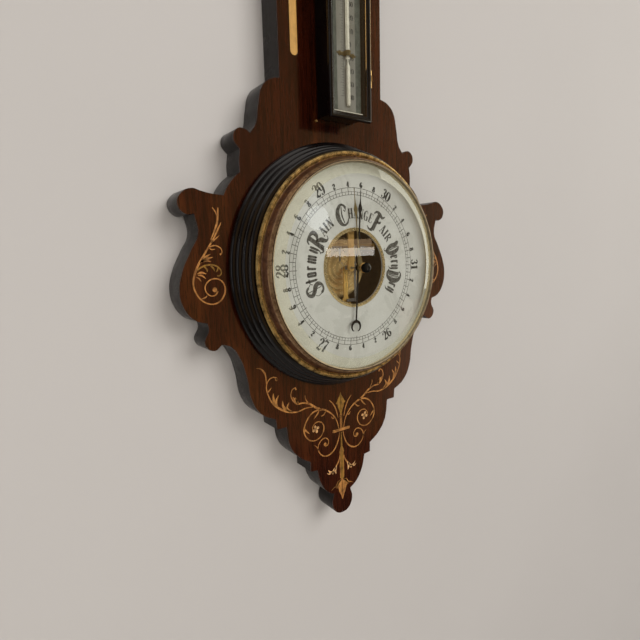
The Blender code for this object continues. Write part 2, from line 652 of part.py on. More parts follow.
def build_set_hand():
    """The brass hand on the glass, its spindle, and the knob that turns it from the front."""
    pivot = new_empty("set_hand_axis", front(0, 0, 0), DIAL_CENTRE, (0, SET_HAND_ANGLE, 0))
    thick = 0.6 * MM
    spear = mirrored(hand_outline(77 * MM, 2 * MM, 57 * MM, 2.2 * MM, 0.8 * MM))
    hand = plate("set_hand", [corners(spear)], 0, thick, GILT_BRASS)
    hub = rod("set_hand_hub", 3.6 * MM, front(0, 0, 0), front(0, 0, thick), None)
    for piece in (hand, hub):
        piece.parent = None
        turn_about_axis(piece, pivot, SET_HAND_HIGH)
    join(hand, [hub])
    glass_back = GLASS_FRONT - GLASS_THICK
    spindle = [(0, GLASS_FRONT + 2.6 * MM), (1.6 * MM, GLASS_FRONT + 2.6 * MM),
               (1.6 * MM, glass_back - 0.4 * MM), (2.9 * MM, glass_back - 0.5 * MM),
               (2.9 * MM, SET_HAND_HIGH + thick + GAP),
               (0, SET_HAND_HIGH + thick + GAP)]
    turned("set_hand_spindle", spindle, BRASS, parent=pivot, steps=16, ring=False)
    washer_r = 5 * MM
    washer = [(1.6 * MM + GAP, GLASS_FRONT + 0.8 * MM), (washer_r, GLASS_FRONT + 0.7 * MM),
              (washer_r, GLASS_FRONT + GAP), (1.6 * MM + GAP, GLASS_FRONT + GAP)]
    turned("knob_washer", washer, BRASS, parent=pivot, steps=24)
    knob_back = GLASS_FRONT + 1.1 * MM
    knob_front = GLASS_FRONT + 7 * MM
    knob = [(0, knob_front), (2.6 * MM, knob_front - 0.1 * MM), (4.3 * MM, knob_front - 0.8 * MM),
            (4.8 * MM, knob_front - 1.6 * MM), (4.8 * MM, knob_back + 0.9 * MM), (4.2 * MM, knob_back),
            (1.6 * MM + GAP, knob_back), (1.6 * MM + GAP, GLASS_FRONT + 2.9 * MM),
            (0, GLASS_FRONT + 2.9 * MM)]
    turned("set_hand_knob", knob, BLACK_BRASS, parent=pivot, steps=24, ring=False)


# The thermometer box


DOOR_HALF = BOX_HALF + DOOR_OVERHANG
DOOR_FOOT = BOX_FOOT - 4 * MM
DOOR_HEAD = BOX_HEAD + 4 * MM
DOOR_BACK = BOX_HIGH + GAP
SCALE_FRONT = 19.5 * MM
HINGE_X = DOOR_HALF + 1.9 * MM
HINGE_HIGH = BOX_HIGH + 0.3 * MM
PULL_Z = 274 * MM


def upright_box(name, half_width, foot, head, low, high, material, parent=None, round_by=0):
    """A box between two heights, centred on the stem."""
    centre = front(0, (foot + head) / 2, (low + high) / 2)
    if parent:
        centre = tuple(c - p for c, p in zip(centre, parent.location))
    size = (2 * half_width, high - low, head - foot)
    return box(name, size, centre, material, parent, round_by)


def build_thermometer_box():
    body = upright_box("thermometer_box", BOX_HALF, BOX_FOOT, BOX_HEAD, GAP, BOX_HIGH, EBONISED,
                       round_by=0.6 * MM)
    hollow = upright_box("box_hollow", BOX_HALF - 2.7 * MM, BOX_FOOT + 3 * MM, BOX_HEAD - 3 * MM,
                         SCALE_FRONT - 2.3 * MM, BOX_HIGH + 5 * MM, None)
    cut(body, hollow)
    upright_box("scale_plate", 17.5 * MM, BOX_FOOT + 4.5 * MM, BOX_HEAD - 4.5 * MM,
                SCALE_FRONT - 2 * MM, SCALE_FRONT, OPAL)


def build_thermometer():
    """The glass tube lies in front of the scale, with a long bulb at its foot."""
    foot = BOX_FOOT + 8 * MM
    head = BOX_HEAD - 14 * MM
    profile = [(0, head), (1.4 * MM, head - 0.7 * MM), (1.9 * MM, head - 2 * MM), (1.9 * MM, foot + 44 * MM),
               (2.2 * MM, foot + 40 * MM), (2.2 * MM, foot + 3 * MM), (1.3 * MM, foot + 0.8 * MM), (0, foot)]
    high = SCALE_FRONT + 2.5 * MM
    turned("thermometer_tube", profile, GLASS, front(0, 0, high), steps=16, turn=(0, 0, 0), ring=False)
    for name, z in (("lower", 203 * MM), ("upper", 376 * MM)):
        clip = box("tube_clip_" + name, (24 * MM, 0.6 * MM, 5 * MM), front(0, z, SCALE_FRONT + 0.6 * MM),
                   BRASS)
        loop = rod("clip_loop_" + name, 2.7 * MM, front(0, z - 2.5 * MM, high - 0.25 * MM),
                   front(0, z + 2.5 * MM, high - 0.25 * MM), None, steps=20)
        way = rod("clip_way_" + name, 2.36 * MM, front(0, z - 4 * MM, high), front(0, z + 4 * MM, high),
                  None, steps=20)
        below = box("clip_trim_" + name, (8 * MM, 3 * MM, 9 * MM), front(0, z, SCALE_FRONT - 1.25 * MM), None)
        join(clip, [loop])
        cut(clip, way)
        cut(clip, below)


def build_door():
    """The glazed front: a mitred frame with its pane in a rebate, hinged on the right."""
    door = new_empty("door_axis", front(HINGE_X, 0, HINGE_HIGH), DIAL_CENTRE)
    frame = upright_box("door_frame", DOOR_HALF, DOOR_FOOT, DOOR_HEAD, DOOR_BACK, DOOR_FRONT, EBONISED,
                       door, 0.8 * MM)
    sight = DOOR_BAR
    view = upright_box("door_sight", DOOR_HALF - sight, DOOR_FOOT + sight, DOOR_HEAD - sight,
                      DOOR_BACK - 5 * MM, DOOR_FRONT + 5 * MM, None, door)
    rebate = sight - 2.5 * MM
    sunk = upright_box("door_rebate", DOOR_HALF - rebate, DOOR_FOOT + rebate, DOOR_HEAD - rebate,
                      DOOR_BACK - 5 * MM, DOOR_BACK + 2.6 * MM, None, door)
    cut(frame, view)
    cut(frame, sunk)
    inset = rebate + GAP
    upright_box("door_pane", DOOR_HALF - inset, DOOR_FOOT + inset, DOOR_HEAD - inset,
               DOOR_BACK + 0.3 * MM, DOOR_BACK + 2.3 * MM, GLASS, door)
    for name, z in (("lower", BOX_FOOT + 38 * MM), ("upper", BOX_HEAD - 38 * MM)):
        build_hinge(name, z, door)
    build_pull(door)


def knuckle(name, z, low, high, material, parent):
    """A short tube round the hinge's pin."""
    outer, inner = 1.5 * MM, 0.85 * MM
    profile = [(inner, high), (outer, high), (outer, low), (inner, low)]
    return turned(name, profile, material, (0, 0, z), parent, 12, (0, 0, 0))


def build_hinge(name, z, door):
    """A butt hinge: one leaf on the side of the box, one on the edge of the door."""
    half = 8 * MM
    third = 2.6 * MM
    fixed = new_empty("hinge_axis_" + name, front(HINGE_X, z, HINGE_HIGH), DIAL_CENTRE)
    leaf_x = BOX_HALF + GAP + 0.4 * MM - HINGE_X
    leaf_deep = 9 * MM
    leaf = box("hinge_box_leaf_" + name, (0.8 * MM, leaf_deep, 2 * half),
               (leaf_x, leaf_deep / 2 + 0.6 * MM, 0), BRASS, fixed)
    reach = box("hinge_reach_" + name, (-leaf_x, 0.8 * MM, 2 * half - 0.1 * MM), (leaf_x / 2, 1.1 * MM, 0),
                None, fixed)
    join(leaf, [reach])
    for end, place_name in ((1, "top"), (-1, "bottom")):
        low, high = (third + 0.3 * MM, half) if end > 0 else (-half, -third - 0.3 * MM)
        tube = knuckle("hinge_tube_%s_%s" % (place_name, name), 0, low, high, None, fixed)
        join(leaf, [tube])
    clear = box("hinge_clear_" + name, (4.6 * MM, 5 * MM, 2 * third + 0.6 * MM), (0, 0, 0), None, fixed)
    cut(leaf, clear)
    bore = rod("hinge_bore_" + name, 0.85 * MM, (0, 0, -2 * half), (0, 0, 2 * half), None, fixed, steps=12)
    cut(leaf, bore)
    door_leaf = box("hinge_door_leaf_" + name, (0.8 * MM, 3.4 * MM, 2 * third),
                    (DOOR_HALF + GAP + 0.4 * MM - HINGE_X, -2 * MM, z), BRASS, door)
    strap = box("hinge_strap_" + name, (1.3 * MM, 1 * MM, 2 * third), (-0.9 * MM, -0.9 * MM, z), None, door)
    tube = knuckle("hinge_tube_middle_" + name, z, -third, third, None, door)
    join(door_leaf, [strap, tube])
    door_bore = rod("hinge_door_bore_" + name, 0.85 * MM, (0, 0, z - 2 * half), (0, 0, z + 2 * half), None,
                    door, steps=12)
    cut(door_leaf, door_bore)
    rod("hinge_pin_" + name, 0.55 * MM, (0, 0, -half - 0.8 * MM), (0, 0, half + 0.8 * MM), STEEL, fixed,
        steps=10)


def build_pull(door):
    """A small brass pull on the door's free edge, and the pin at the foot of the box."""
    profile = [(0, 4.4 * MM), (1.5 * MM, 4.1 * MM), (2 * MM, 3.2 * MM), (1.5 * MM, 2.3 * MM),
               (0.9 * MM, 1.6 * MM), (1 * MM, 0.8 * MM), (1.8 * MM, GAP), (0, GAP)]
    turned("door_pull", profile, BRASS, (-DOOR_HALF - HINGE_X, -2 * MM, PULL_Z), door, 12,
           (0, -math.pi / 2, 0), ring=False)
    pin = [(0, 2.6 * MM), (0.9 * MM, 2.3 * MM), (1.2 * MM, 1.6 * MM), (1.2 * MM, GAP), (0, GAP)]
    turned("box_foot_pin", pin, BRASS, front(-BOX_HALF - 2 * MM, BOX_FOOT - 2 * MM, 0), steps=12, ring=False)


build_hanger(build_case())
build_surround()
build_bezel()
build_glass()
build_dial()
build_movement_case()
build_capsule()
build_spring()
build_lever()
build_regulator()
build_arbor_cock()
build_spring_and_chain()
build_adjusting_screw()
build_indicator()
build_set_hand()
build_thermometer_box()
build_thermometer()
build_door()
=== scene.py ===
"""Looks of an aneroid banjo barometer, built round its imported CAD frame.

The world is in metres, +Z up, with the front facing -Y. The tables below are in
millimetres about the dial's centre: x to the right, z up, and a height in front
of the case's polished face.
"""

import math

import bmesh
import bpy
from mathutils import Matrix, Vector


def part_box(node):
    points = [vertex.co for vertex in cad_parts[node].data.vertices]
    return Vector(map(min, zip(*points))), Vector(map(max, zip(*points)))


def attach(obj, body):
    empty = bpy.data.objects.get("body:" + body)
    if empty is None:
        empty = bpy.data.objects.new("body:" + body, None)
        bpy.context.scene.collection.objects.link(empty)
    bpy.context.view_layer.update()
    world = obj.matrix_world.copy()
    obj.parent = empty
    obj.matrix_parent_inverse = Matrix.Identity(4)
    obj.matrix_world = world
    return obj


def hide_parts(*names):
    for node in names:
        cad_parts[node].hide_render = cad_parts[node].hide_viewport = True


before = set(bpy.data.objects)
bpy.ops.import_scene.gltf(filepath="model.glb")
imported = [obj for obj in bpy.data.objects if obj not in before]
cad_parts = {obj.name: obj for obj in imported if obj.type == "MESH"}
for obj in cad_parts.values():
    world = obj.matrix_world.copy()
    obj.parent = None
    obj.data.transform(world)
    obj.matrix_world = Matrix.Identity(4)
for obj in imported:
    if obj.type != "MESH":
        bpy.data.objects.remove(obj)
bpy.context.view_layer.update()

MM = 0.001
FACE_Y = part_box("front_veneer")[0].y
CENTRE_Z = sum(corner.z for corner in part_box("dial_plate")) / 2


def point(x, z, height):
    """World position of a point given in millimetres about the dial's centre."""
    return Vector((x * MM, FACE_Y - height * MM, CENTRE_Z + z * MM))


def height_of(y):
    """Height in millimetres in front of the polished face."""
    return (FACE_Y - y) / MM


def top_of(node):
    return height_of(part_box(node)[0].y)


# ---------------------------------------------------------------- materials


class Look:
    """A node material, with short calls for the nodes that every finish here uses."""

    def __init__(self, name, **shader):
        self.material = bpy.data.materials.new(name)
        self.material.use_nodes = True
        self.tree = self.material.node_tree
        self.shader = self.tree.nodes["Principled BSDF"]
        for socket, value in shader.items():
            self.shader.inputs[socket.replace("_", " ")].default_value = value
        self.place = self.node("TexCoord").outputs["Object"]

    def node(self, kind, inputs=None, **settings):
        made = self.tree.nodes.new("ShaderNode" + kind)
        for key, value in settings.items():
            setattr(made, key, value)
        for key, value in (inputs or {}).items():
            self.set(made.inputs[key], value)
        return made

    def set(self, socket, value):
        if isinstance(value, bpy.types.NodeSocket):
            self.tree.links.new(value, socket)
        else:
            socket.default_value = value

    def noise(self, scale, detail=4, roughness=0.55, distortion=0):
        """Noise with a number of features per metre, or with one number for each axis."""
        place = self.place
        if isinstance(scale, tuple):
            place = self.node("Mapping", {"Vector": place, "Scale": scale}).outputs["Vector"]
            scale = 1
        inputs = {"Vector": place, "Scale": scale, "Detail": detail,
                  "Roughness": roughness, "Distortion": distortion}
        return self.node("TexNoise", inputs).outputs["Fac"]

    def ramp(self, factor, *stops):
        """stops are (position, value), where a value is a grey level or a colour."""
        made = self.node("ValToRGB", {"Fac": factor})
        elements = made.color_ramp.elements
        for i, (position, value) in enumerate(stops):
            colour = (value,) * 3 if isinstance(value, (int, float)) else value
            step = elements[i] if i < 2 else elements.new(position)
            step.position = position
            step.color = (*colour, 1)
        return made.outputs["Color"]

    def mix(self, factor, first, second, blend="MIX"):
        made = self.node("Mix", {"Factor": factor}, data_type="RGBA", blend_type=blend)
        colours = [s for s in made.inputs if s.type == "RGBA"]
        for socket, value in zip(colours, (first, second)):
            self.set(socket, (*value, 1) if isinstance(value, tuple) else value)
        return next(s for s in made.outputs if s.type == "RGBA")

    def add(self, first, second):
        return self.node("Math", {0: first, 1: second}, operation="ADD").outputs[0]

    def finish(self, colour=None, roughness=None, bumps=()):
        """bumps are (height, strength, distance in metres)."""
        if colour is not None:
            self.set(self.shader.inputs["Base Color"], colour)
        if roughness is not None:
            self.set(self.shader.inputs["Roughness"], roughness)
        normal = None
        for height, strength, distance in bumps:
            inputs = {"Height": height, "Strength": strength, "Distance": distance}
            if normal is not None:
                inputs["Normal"] = normal
            normal = self.node("Bump", inputs).outputs["Normal"]
        if normal is not None:
            self.set(self.shader.inputs["Normal"], normal)
        return self.material


def rosewood():
    """French-polished veneer: fine dark streaks and pores along the stem, under a glossy coat."""
    look = Look("rosewood_polished", Coat_Weight=1.0, Coat_Roughness=0.13, IOR=1.5, Specular_IOR_Level=0.04)
    broad = look.noise((17, 17, 5), 5, 0.55, 1.4)
    fine = look.noise((240, 240, 13), 5, 0.65, 0.5)
    pores = look.noise((1200, 1200, 90), 2, 0.5)
    body = look.ramp(broad, (0.30, (0.021, 0.0030, 0.0009)), (0.50, (0.036, 0.0065, 0.0014)),
                     (0.70, (0.062, 0.0150, 0.0030)))
    streaks = look.ramp(fine, (0.34, 0.5), (0.52, 1.0), (0.72, 1.35))
    colour = look.mix(1.0, body, streaks, "MULTIPLY")
    dark = look.ramp(pores, (0.38, 0.4), (0.46, 1.0))
    colour = look.mix(0.8, colour, dark, "MULTIPLY")
    rough = look.ramp(look.noise(60, 5), (0.3, 0.3), (0.7, 0.45))
    return look.finish(colour, rough, [(fine, 0.2, 0.00008), (pores, 0.25, 0.00005)])


def inlay(name, pale, deep, burnt=0.42):
    """Boxwood or pearwood marquetry, scorched in places and rubbed in others."""
    look = Look(name, Coat_Weight=0.5, Coat_Roughness=0.2, IOR=1.5)
    grain = look.noise((420, 420, 30), 4, 0.6, 0.5)
    scorch = look.noise(150, 3, 0.6)
    colour = look.ramp(grain, (0.32, deep), (0.62, pale))
    colour = look.mix(1.0, colour, look.ramp(scorch, (0.34, burnt), (0.55, 1.0)), "MULTIPLY")
    return look.finish(colour, look.ramp(grain, (0.3, 0.5), (0.7, 0.32)), [(grain, 0.2, 0.0001)])


def ebonised(name, base, shine, scuff):
    """Black-stained wood under polish, with open grain, scuffs and rubbed patches."""
    look = Look(name, Coat_Weight=shine, Coat_Roughness=0.08, IOR=1.48, Specular_IOR_Level=0.2)
    grain = look.noise((260, 260, 16), 5, 0.62, 0.4)
    wear = look.noise(48, 6, 0.7)
    colour = look.ramp(grain, (0.3, tuple(c * 0.55 for c in base)), (0.7, base))
    worn = look.ramp(wear, (0.62, 0.0), (0.76, scuff))
    colour = look.mix(worn, colour, (0.11, 0.075, 0.055))
    rough = look.ramp(wear, (0.35, 0.22), (0.7, 0.5))
    return look.finish(colour, rough, [(grain, 0.3, 0.00012)])


def aged_brass(name, bright, tarnish, amount, scale=1.0, polish=0.28):
    """Lacquered brass gone brown in specks and blotches. amount is how much has gone."""
    look = Look(name, Metallic=0.82)
    blotch = look.noise(95 * scale, 6, 0.65, 0.3)
    specks = look.noise(760 * scale, 3, 0.6)
    patches = look.ramp(blotch, (0.62 - amount * 0.4, 0.0), (0.78 - amount * 0.3, 0.75))
    gone = look.add(patches, look.ramp(specks, (0.5, 0.0), (0.62, amount)))
    colour = look.mix(gone, bright, tarnish)
    rough = look.ramp(gone, (0.0, polish), (1.0, 0.62))
    return look.finish(colour, rough, [(blotch, 0.15, 0.0002), (specks, 0.35, 0.0001)])


def brushed(name, colour, dull, rough_low, rough_high, scale=(900, 900, 60), metal=0.85):
    """Machined metal with fine drawn lines and faint stains."""
    look = Look(name, Metallic=metal)
    lines = look.noise(scale, 3, 0.5)
    stain = look.noise(70, 5, 0.65)
    mixed = look.mix(look.ramp(stain, (0.42, 0.0), (0.72, 0.7)), colour, dull)
    rough = look.ramp(lines, (0.3, rough_low), (0.7, rough_high))
    return look.finish(mixed, rough, [(lines, 0.12, 0.00005)])


def opal():
    """The white dial: fired opal glass with faint grey clouding."""
    look = Look("opal_dial", IOR=1.5, Specular_IOR_Level=0.4)
    cloud = look.noise(26, 5, 0.6, 0.6)
    spots = look.noise(420, 2, 0.5)
    colour = look.ramp(cloud, (0.34, (0.48, 0.485, 0.455)), (0.62, (0.56, 0.57, 0.545)))
    colour = look.mix(look.ramp(spots, (0.70, 0.0), (0.78, 0.35)), colour, (0.36, 0.35, 0.31))
    return look.finish(colour, look.ramp(cloud, (0.3, 0.22), (0.7, 0.34)), [(cloud, 0.05, 0.0003)])


def silvered_scale():
    """The thermometer's plate: ivory-toned glass, yellowed and foxed."""
    look = Look("thermometer_scale", IOR=1.5)
    cloud = look.noise((60, 60, 14), 5, 0.6, 0.4)
    fox = look.noise(300, 3, 0.6)
    colour = look.ramp(cloud, (0.34, (0.15, 0.148, 0.12)), (0.66, (0.22, 0.22, 0.195)))
    colour = look.mix(look.ramp(fox, (0.66, 0.0), (0.76, 0.4)), colour, (0.25, 0.21, 0.13))
    return look.finish(colour, look.ramp(cloud, (0.3, 0.3), (0.7, 0.42)), [(cloud, 0.06, 0.0002)])


def ink(name, dark, faded, scale=240):
    """Fired black lettering, thin in places."""
    look = Look(name, IOR=1.45)
    thin = look.noise(scale, 4, 0.6)
    colour = look.ramp(thin, (0.38, dark), (0.72, faded))
    return look.finish(colour, look.ramp(thin, (0.3, 0.35), (0.7, 0.55)), [(thin, 0.1, 0.00005)])


def glass(name, tint, clear=1.0, haze=0.0):
    """Glass with a trace of dust and smears; haze is a roughness all over, as ground glass has."""
    look = Look(name, Transmission_Weight=clear, IOR=1.5, Base_Color=(*tint, 1))
    smear = look.noise(35, 4, 0.6, 0.8)
    waves = look.noise(12, 1, 0.4)
    rough = look.ramp(smear, (0.5, haze), (0.8, haze + 0.035))
    return look.finish(None, rough, [(waves, 0.02, 0.0004)])


def plaster(name, low, high):
    """Matt paint over faintly uneven plaster."""
    look = Look(name, Specular_IOR_Level=0.2)
    broad = look.noise(1.3, 3, 0.5)
    nap = look.noise(380, 3, 0.6)
    return look.finish(look.ramp(broad, (0.3, low), (0.7, high)), 0.85, [(nap, 0.08, 0.0004)])


TAN = inlay("inlay_tan", (0.50, 0.225, 0.055), (0.33, 0.125, 0.028))
CREAM = inlay("inlay_cream", (0.80, 0.46, 0.20), (0.58, 0.29, 0.10))
OLIVE = inlay("inlay_olive", (0.30, 0.155, 0.022), (0.19, 0.09, 0.012))
STRINGING = inlay("inlay_stringing", (0.68, 0.39, 0.11), (0.54, 0.29, 0.075), 0.85)
ROSEWOOD = rosewood()
CASE_BLACK = ebonised("case_edge_black", (0.012, 0.0080, 0.0068), 0.15, 0.16)
DRUM_BLACK = ebonised("drum_black", (0.0030, 0.0022, 0.0024), 0.7, 0.02)
BOX_BLACK = ebonised("box_black", (0.0028, 0.0018, 0.0020), 0.5, 0.05)
GILT = aged_brass("gilt_bead", (0.66, 0.45, 0.16), (0.06, 0.03, 0.013), 0.5, 2.2)
GILT_DARK = aged_brass("gilt_hollow", (0.25, 0.135, 0.085), (0.10, 0.050, 0.032), 0.42, 2.0)
GILT_SPECKLED = aged_brass("gilt_speckled", (0.42, 0.26, 0.13), (0.12, 0.055, 0.03), 0.45, 2.4)
BLACK_LINE = ebonised("bezel_line", (0.012, 0.009, 0.007), 0.2, 0.1)
LIP_GILT = aged_brass("bezel_lip_gilt", (0.46, 0.39, 0.27), (0.2, 0.15, 0.09), 0.3, 2.0, 0.34)
RING_GILT = aged_brass("ring_gilt", (0.85, 0.66, 0.34), (0.28, 0.16, 0.05), 0.2, 1.2, 0.22)
BRASS = brushed("movement_brass_aged", (0.74, 0.45, 0.14), (0.30, 0.16, 0.05), 0.26, 0.45, metal=0.6)
CUP_BRASS = brushed("cup_brass_dark", (0.15, 0.085, 0.03), (0.05, 0.027, 0.011), 0.3, 0.5)
SPRING_GILT = brushed("spring_gilt", (0.92, 0.58, 0.17), (0.6, 0.34, 0.09), 0.22, 0.36, metal=0.6)
CAPSULE = brushed("capsule_skin", (0.90, 0.66, 0.30), (0.42, 0.26, 0.10), 0.16, 0.3, (500, 60, 500), 0.5)
STEEL = brushed("steel_drawn", (0.46, 0.46, 0.46), (0.20, 0.17, 0.14), 0.22, 0.42)
BLUED = brushed("blued_steel_hand", (0.020, 0.028, 0.036), (0.035, 0.032, 0.03), 0.2, 0.35)
SET_BRASS = aged_brass("set_hand_brass", (0.36, 0.28, 0.13), (0.13, 0.09, 0.04), 0.3, 1.4, 0.3)
BLACKENED = brushed("knob_blackened", (0.020, 0.019, 0.018), (0.055, 0.042, 0.025), 0.3, 0.5)
OPAL = opal()
SCALE_WHITE = silvered_scale()
PRINT = ink("dial_print", (0.012, 0.015, 0.016), (0.06, 0.065, 0.06))
WORD_PRINT = ink("dial_word_print", (0.016, 0.017, 0.016), (0.17, 0.17, 0.155), 620)
PRINT_GREY = ink("dial_print_grey", (0.05, 0.05, 0.048), (0.12, 0.12, 0.11))
GLASS = glass("crystal", (0.94, 0.965, 0.93))
# The bevel's cream tint and part-matt finish are partly painted reflection: on top of the glass's own faint
# edge tint, they paint in the pale band that light refracted through the bevel shows.
BEVEL_GLASS_PAINTED_REFLECTION = glass("crystal_bevel", (0.78, 0.77, 0.60), 0.84, 0.02)
PANE = glass("door_glass", (0.97, 0.98, 0.96))
ENAMEL = ink("tube_enamel", (0.62, 0.60, 0.50), (0.74, 0.72, 0.62))
# Dark grey-green ink for painted shade: strips that stand in for the shadowed walls of the thermometer
# scale's recess.
PAINTED_SHADE_GREY = ink("margin_painted_shade", (0.055, 0.066, 0.055), (0.11, 0.125, 0.105))

SLOT_LOOKS = {
    "rosewood": ROSEWOOD, "ebonised_wood": BOX_BLACK, "boxwood": STRINGING,
    "gilt_brass": RING_GILT, "movement_brass": BRASS, "steel": STEEL,
    "blued_steel": BLUED, "blackened_brass": BLACKENED, "clear_glass": PANE,
    "opal_glass": SCALE_WHITE, "nickel_silver": CAPSULE,
}
for cad_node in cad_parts.values():
    for index, shown in enumerate(cad_node.data.materials):
        cad_node.data.materials[index] = SLOT_LOOKS[shown.name.split(".")[0]]
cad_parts["main_spring"].data.materials[0] = SPRING_GILT


# ---------------------------------------------------------------- mesh helpers

# Each axis: its own direction, then the two across it.
AXES = {
    "front": ((0, -1, 0), (1, 0, 0), (0, 0, 1)),
    "back": ((0, 1, 0), (1, 0, 0), (0, 0, 1)),
    "up": ((0, 0, 1), (1, 0, 0), (0, 1, 0)),
    "left": ((-1, 0, 0), (0, 1, 0), (0, 0, 1)),
}


def mesh_of(name, build):
    """The mesh that build(shape) draws, its faces turned outwards."""
    shape = bmesh.new()
    build(shape)
    bmesh.ops.recalc_face_normals(shape, faces=shape.faces)
    mesh = bpy.data.meshes.new(name)
    shape.to_mesh(mesh)
    shape.free()
    return mesh


def piece(name, build, looks, body="root", stands_for=(), sharp=35):
    """A named piece that build(shape) draws, riding on a body, in place of some CAD nodes."""
    return adopt(name, mesh_of(name, build), looks, body, stands_for, sharp)


def adopt(name, mesh, looks, body="root", stands_for=(), sharp=35):
    """A named piece from a finished mesh, smooth except on flat fronts and at sharp edges."""
    mesh.shade_smooth()
    mesh.set_sharp_from_angle(angle=math.radians(sharp))
    for face in mesh.polygons:
        if abs(face.normal.y) > 0.9999:
            face.use_smooth = False
    if mesh.materials:
        mesh.materials.clear()
    for look in looks if isinstance(looks, (list, tuple)) else [looks]:
        mesh.materials.append(look)
    made = bpy.data.objects.new(name, mesh)
    bpy.context.scene.collection.objects.link(made)
    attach(made, body)
    if stands_for:
        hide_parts(*stands_for)
    return made


def smooth_path(points, steps, closed=False):
    """A Catmull-Rom curve through the points, which may have any number of terms."""
    count = len(points)
    spans = count if closed else count - 1
    made = []
    for i in range(spans):
        at = [(i + k) % count if closed else min(max(i + k, 0), count - 1) for k in (-1, 0, 1, 2)]
        a, b, c, d = (points[k] for k in at)
        for k in range(steps):
            t = k / steps
            made.append(tuple(
                q + 0.5 * t * (r - p + t * (2 * p - 5 * q + 4 * r - s + t * (3 * (q - r) + s - p)))
                for p, q, r, s in zip(a, b, c, d)))
    if not closed:
        made.append(tuple(points[-1]))
    return made


def arc(centre, radius, start, end, count):
    """Points on an arc, with its angles in degrees."""
    turns = [math.radians(start + (end - start) * i / count) for i in range(count + 1)]
    return [(centre[0] + radius * math.cos(a), centre[1] + radius * math.sin(a)) for a in turns]


def eased(profile, radius, closed=True, steps=3):
    """The profile with each corner rounded; points on an axis stay as they are."""
    made = []
    count = len(profile)
    for i, here in enumerate(profile):
        ends = not closed and i in (0, count - 1)
        before, after = profile[i - 1], profile[(i + 1) % count]
        if ends or here[0] == 0:
            made.append(here)
            continue
        cuts = []
        for other in (before, after):
            run = math.dist(here, other)
            share = min(radius, run * 0.45) / run
            cuts.append(tuple(h + (o - h) * share for h, o in zip(here, other)))
        for k in range(steps + 1):
            t = k / steps
            made.append(tuple(a * (1 - t) ** 2 + 2 * b * t * (1 - t) + c * t * t
                              for a, b, c in zip(cuts[0], here, cuts[1])))
    return made


def lathe(shape, profile, origin=None, axis="front", steps=144, closed=True, finish_at=None,
          ripple=None):
    """Spins (radius, height) points, in millimetres, about an axis through origin.

    finish_at gives the material index from a segment's middle (radius, height), and
    ripple scales a point's radius from (radius, height, angle).
    """
    origin = origin if origin is not None else point(0, 0, 0)
    along, across, aside = (Vector(v) for v in AXES[axis])
    rings = []
    for radius, height in profile:
        if radius == 0:
            rings.append([shape.verts.new(origin + along * height * MM)] * steps)
            continue
        ring = []
        for i in range(steps):
            angle = 2 * math.pi * i / steps
            reach = radius * (ripple(radius, height, angle) if ripple else 1)
            spot = across * math.cos(angle) + aside * math.sin(angle)
            ring.append(shape.verts.new(origin + spot * reach * MM + along * height * MM))
        rings.append(ring)
    for a in range(len(rings) if closed else len(rings) - 1):
        b = (a + 1) % len(rings)
        middle = [(p + q) / 2 for p, q in zip(profile[a], profile[b])]
        index = finish_at(*middle) if finish_at else 0
        for i in range(steps):
            k = (i + 1) % steps
            around = []
            for vert in (rings[a][i], rings[a][k], rings[b][k], rings[b][i]):
                if vert not in around:
                    around.append(vert)
            if len(around) > 2:
                shape.faces.new(around).material_index = index


def turned(name, profile, looks, body="root", slot=None, stands_for=(), ease=0.0, sharp=35, **spin):
    """A turned piece as a lathe makes it, its corners eased by a radius in millimetres."""
    closed = spin.get("closed", True)
    outline = eased(profile, ease, closed) if ease else profile
    return piece(name, lambda shape: lathe(shape, outline, **spin), looks, body, stands_for, sharp)


def bar(shape, low, high, ease=0.3):
    """A box between two corners in metres, its edges eased by a radius in millimetres."""
    made = bmesh.ops.create_cube(shape, size=1)["verts"]
    middle = (Vector(low) + Vector(high)) / 2
    size = Vector(high) - Vector(low)
    for vert in made:
        vert.co = Vector(c * s for c, s in zip(vert.co, size)) + middle
    edges = list({edge for vert in made for edge in vert.link_edges})
    if ease:
        bmesh.ops.bevel(shape, geom=edges, offset=ease * MM, segments=2, affect="EDGES", profile=0.6)


def plate_mesh(loops, back, thick, bevel=0.0, resolution=10):
    """A flat plate, cut to its first loop with the others as holes.

    A loop is a closed list of (x, z, is_corner) in millimetres.
    """
    curve = bpy.data.curves.new("plate", "CURVE")
    curve.dimensions = "2D"
    curve.fill_mode = "BOTH"
    curve.extrude = (thick / 2 - bevel) * MM
    curve.bevel_depth = bevel * MM
    curve.bevel_resolution = 2
    curve.offset = -bevel * MM
    curve.resolution_u = resolution
    for loop in loops:
        spline = curve.splines.new("BEZIER")
        spline.use_cyclic_u = True
        spline.bezier_points.add(len(loop) - 1)
        for knot, (x, z, is_corner) in zip(spline.bezier_points, loop):
            knot.co = (x * MM, z * MM, 0)
            kind = "VECTOR" if is_corner else "AUTO"
            knot.handle_left_type = kind
            knot.handle_right_type = kind
    drawn = bpy.data.objects.new("plate", curve)
    bpy.context.scene.collection.objects.link(drawn)
    bpy.context.view_layer.update()
    graph = bpy.context.evaluated_depsgraph_get()
    mesh = bpy.data.meshes.new_from_object(drawn.evaluated_get(graph))
    bpy.data.objects.remove(drawn)
    mesh.transform(Matrix.Translation(point(0, 0, back + thick / 2)) @ Matrix.Rotation(math.pi / 2, 4, "X"))
    shape = bmesh.new()
    shape.from_mesh(mesh)
    bmesh.ops.remove_doubles(shape, verts=shape.verts, dist=0.004 * MM)
    shape.to_mesh(mesh)
    shape.free()
    return mesh


